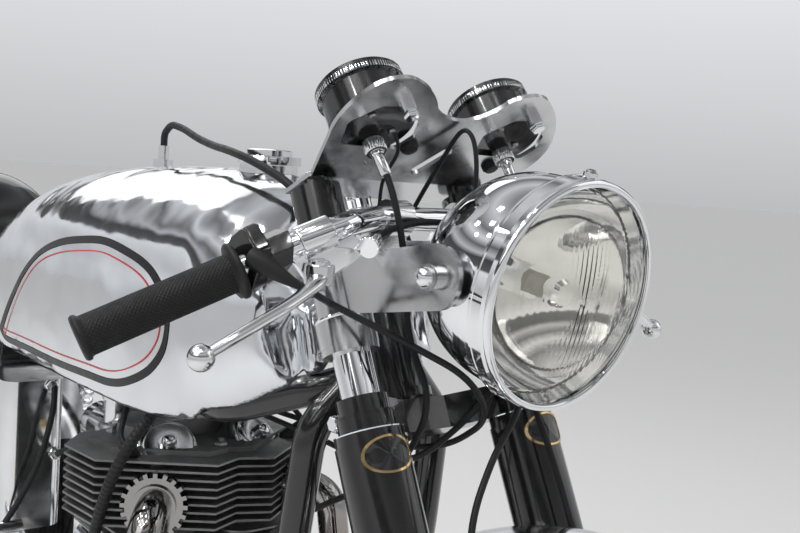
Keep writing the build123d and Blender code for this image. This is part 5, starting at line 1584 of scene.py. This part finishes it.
@dataclass
class Studio:
    """A pale floor, soft lamps and the camera, set as the photograph was taken, its sizes in metres."""

    camera_at: Vector = held(1.19675, -0.65563, 0.94723)
    camera_right: Vector = held(0.644392, 0.761728, 0.067297)
    camera_down: Vector = held(0.104537, -0.000571, -0.994521)
    camera_deep: Vector = held(-0.757516, 0.647896, -0.079997)
    lens: float = 47.17
    floor_half: float = 200.0
    floor_grey: float = 0.78
    plain_light: float = 0.66
    # how high a band of the backdrop is, and its brightness; the camera sees only the pale foot
    backdrop: Rows = (
        (0.00, 0.52),
        (0.10, 0.66),
        (0.19, 0.78),
        (0.22, 0.10),
        (0.35, 0.06),
        (0.41, 0.50),
        (0.50, 0.12),
        (0.60, 0.70),
        (0.70, 0.16),
        (0.84, 0.60),
        (0.95, 0.25),
    )
    # name, place, size and power
    lamps: tuple[tuple[str, Point, float, float], ...] = (
        ("key", (0.9, -2.4, 2.8), 2.0, 16.0),
        ("fill", (1.8, 2.2, 2.2), 2.0, 9.0),
        ("back", (-2.6, 0.8, 2.6), 2.0, 14.0),
    )

    def build(self) -> None:
        """Builds the floor, the world, the lamps and the camera."""
        self.build_floor()
        self.build_world()
        for lamp in self.lamps:
            self.hang(*lamp)
        for row in range(3):
            for place in range(4):
                self.hang(f"ceiling_{row}_{place}", (place * 0.9 - 1.2, row * 0.8 - 2.3, 3.0), 0.16, 3.0)
        self.build_camera()

    def build_floor(self) -> None:
        """Lays a wide pale floor."""
        mesh = bpy.data.meshes.new("floor")
        half = self.floor_half
        corners = [(x * half, y * half, 0) for x, y in ((-1, -1), (1, -1), (1, 1), (-1, 1))]
        mesh.from_pydata(corners, [], [(0, 1, 2, 3)])
        material = bpy.data.materials.new("floor")
        material.use_nodes = True
        shader = material.node_tree.nodes["Principled BSDF"]
        shader.inputs["Base Color"].default_value = (self.floor_grey,) * 3 + (1,)
        shader.inputs["Roughness"].default_value = 0.75
        mesh.materials.append(material)
        floor = add_object("floor", mesh)

    def build_world(self) -> None:
        """Sets one plain light, and a backdrop that the camera, metal and glass all see."""
        world = bpy.data.worlds.new("studio")
        bpy.context.scene.world = world
        tree = NodeTree(world)
        plain = world.node_tree.nodes["Background"]
        plain.inputs["Strength"].default_value = self.plain_light
        plain.inputs["Color"].default_value = (1, 1, 1, 1)
        stops = [(height, (grey * 0.98, grey * 0.99, grey * 1.02)) for height, grey in self.backdrop]
        backdrop = tree.add("ShaderNodeBackground", Strength=1.0)
        tree.join(tree.ramp(tree.height("Generated"), stops), backdrop.inputs["Color"])
        rays = tree.add("ShaderNodeLightPath")
        seen = rays.outputs["Is Camera Ray"]
        for kind in ("Is Glossy Ray", "Is Transmission Ray"):
            either = tree.add("ShaderNodeMath", operation="MAXIMUM")
            tree.join(seen, either.inputs[0])
            tree.join(rays.outputs[kind], either.inputs[1])
            seen = either.outputs["Value"]
        mixed = tree.add("ShaderNodeMixShader")
        tree.join(seen, mixed.inputs["Fac"])
        tree.join(plain.outputs["Background"], mixed.inputs[1])
        tree.join(backdrop.outputs["Background"], mixed.inputs[2])
        tree.join(mixed.outputs["Shader"], world.node_tree.nodes["World Output"].inputs["Surface"])

    def hang(self, name: str, place: Point, size: float, power: float) -> None:
        """Hangs a soft lamp that is aimed at the machine."""
        data = bpy.data.lights.new(name, "AREA")
        data.size = size
        data.energy = power
        lamp = add_object(name, data)
        lamp.location = place
        lamp.rotation_mode = "QUATERNION"
        lamp.rotation_quaternion = (Vector((0, 0, 0.5)) - lamp.location).to_track_quat("-Z", "Y")

    def build_camera(self) -> None:
        """Puts the camera where the photograph was taken from."""
        data = bpy.data.cameras.new("camera")
        data.lens = self.lens
        data.sensor_width = 36.0
        data.clip_start = 0.02
        camera = add_object("camera", data)
        axes = Matrix((self.camera_right, -self.camera_down, -self.camera_deep)).transposed()
        camera.matrix_world = Matrix.Translation(self.camera_at) @ axes.to_4x4()
        bpy.context.scene.camera = camera
        bpy.context.scene.view_settings.view_transform = "Standard"


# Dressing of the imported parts

NODE_FINISH = {
    "tyre": TYRE,
    "polished_alloy": POLISHED,
    "cast_alloy": CAST,
    "chrome": CHROME,
    "black_gloss": GLOSS_BLACK,
    "grip_rubber": RUBBER,
    "seat_leather": LEATHER,
    "tail_lens": TAIL_LENS,
    "steel": STEEL,
}
OWN_FINISH = {
    "exhaust_pipes": HOT_CHROME,
    "gauge_bracket": SATIN,
    "headlamp_ears": SATIN,
    "cylinder_head": DARK_CAST,
    "cylinder_block": DARK_CAST,
}


def dress_nodes(frame: dict) -> None:
    """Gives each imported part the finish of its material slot.
    """
    for part in frame["record"]["subparts"]:
        finish = OWN_FINISH.get(part["node"], NODE_FINISH.get(part["material_slot"]))
        if finish:
            for holder in frame["nodes"][part["node"]].material_slots:
                holder.material = finish.shared()


def main() -> None:
    """Builds the studio and the machine's looks in order."""
    logging.basicConfig(level=logging.INFO, format="%(message)s")
    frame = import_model()
    dress_nodes(frame)
    Studio().build()
    assemblies = (
        Wheel("front", Body.FRONT_WHEEL, LAYOUT.front_axle, 330, 42, ribbed=True),
        Wheel("rear", Body.REAR_WHEEL, LAYOUT.rear_axle, 338, 47, ribbed=False),
        ForkTrim(),
        Headlamp(),
        Instruments(),
        Controls(),
        FrontWires(),
        CrossingCables(frame["nodes"]["crossing_cables"]),
        Tank(frame["nodes"]["fuel_tank"]),
        EngineTrim(),
        Seat(),
        Chain(),
        RearTrim(),
    )
    for assembly in assemblies:
        assembly.build()
        log.info("%s built", type(assembly).__name__)


if __name__ == "__main__":
    main()
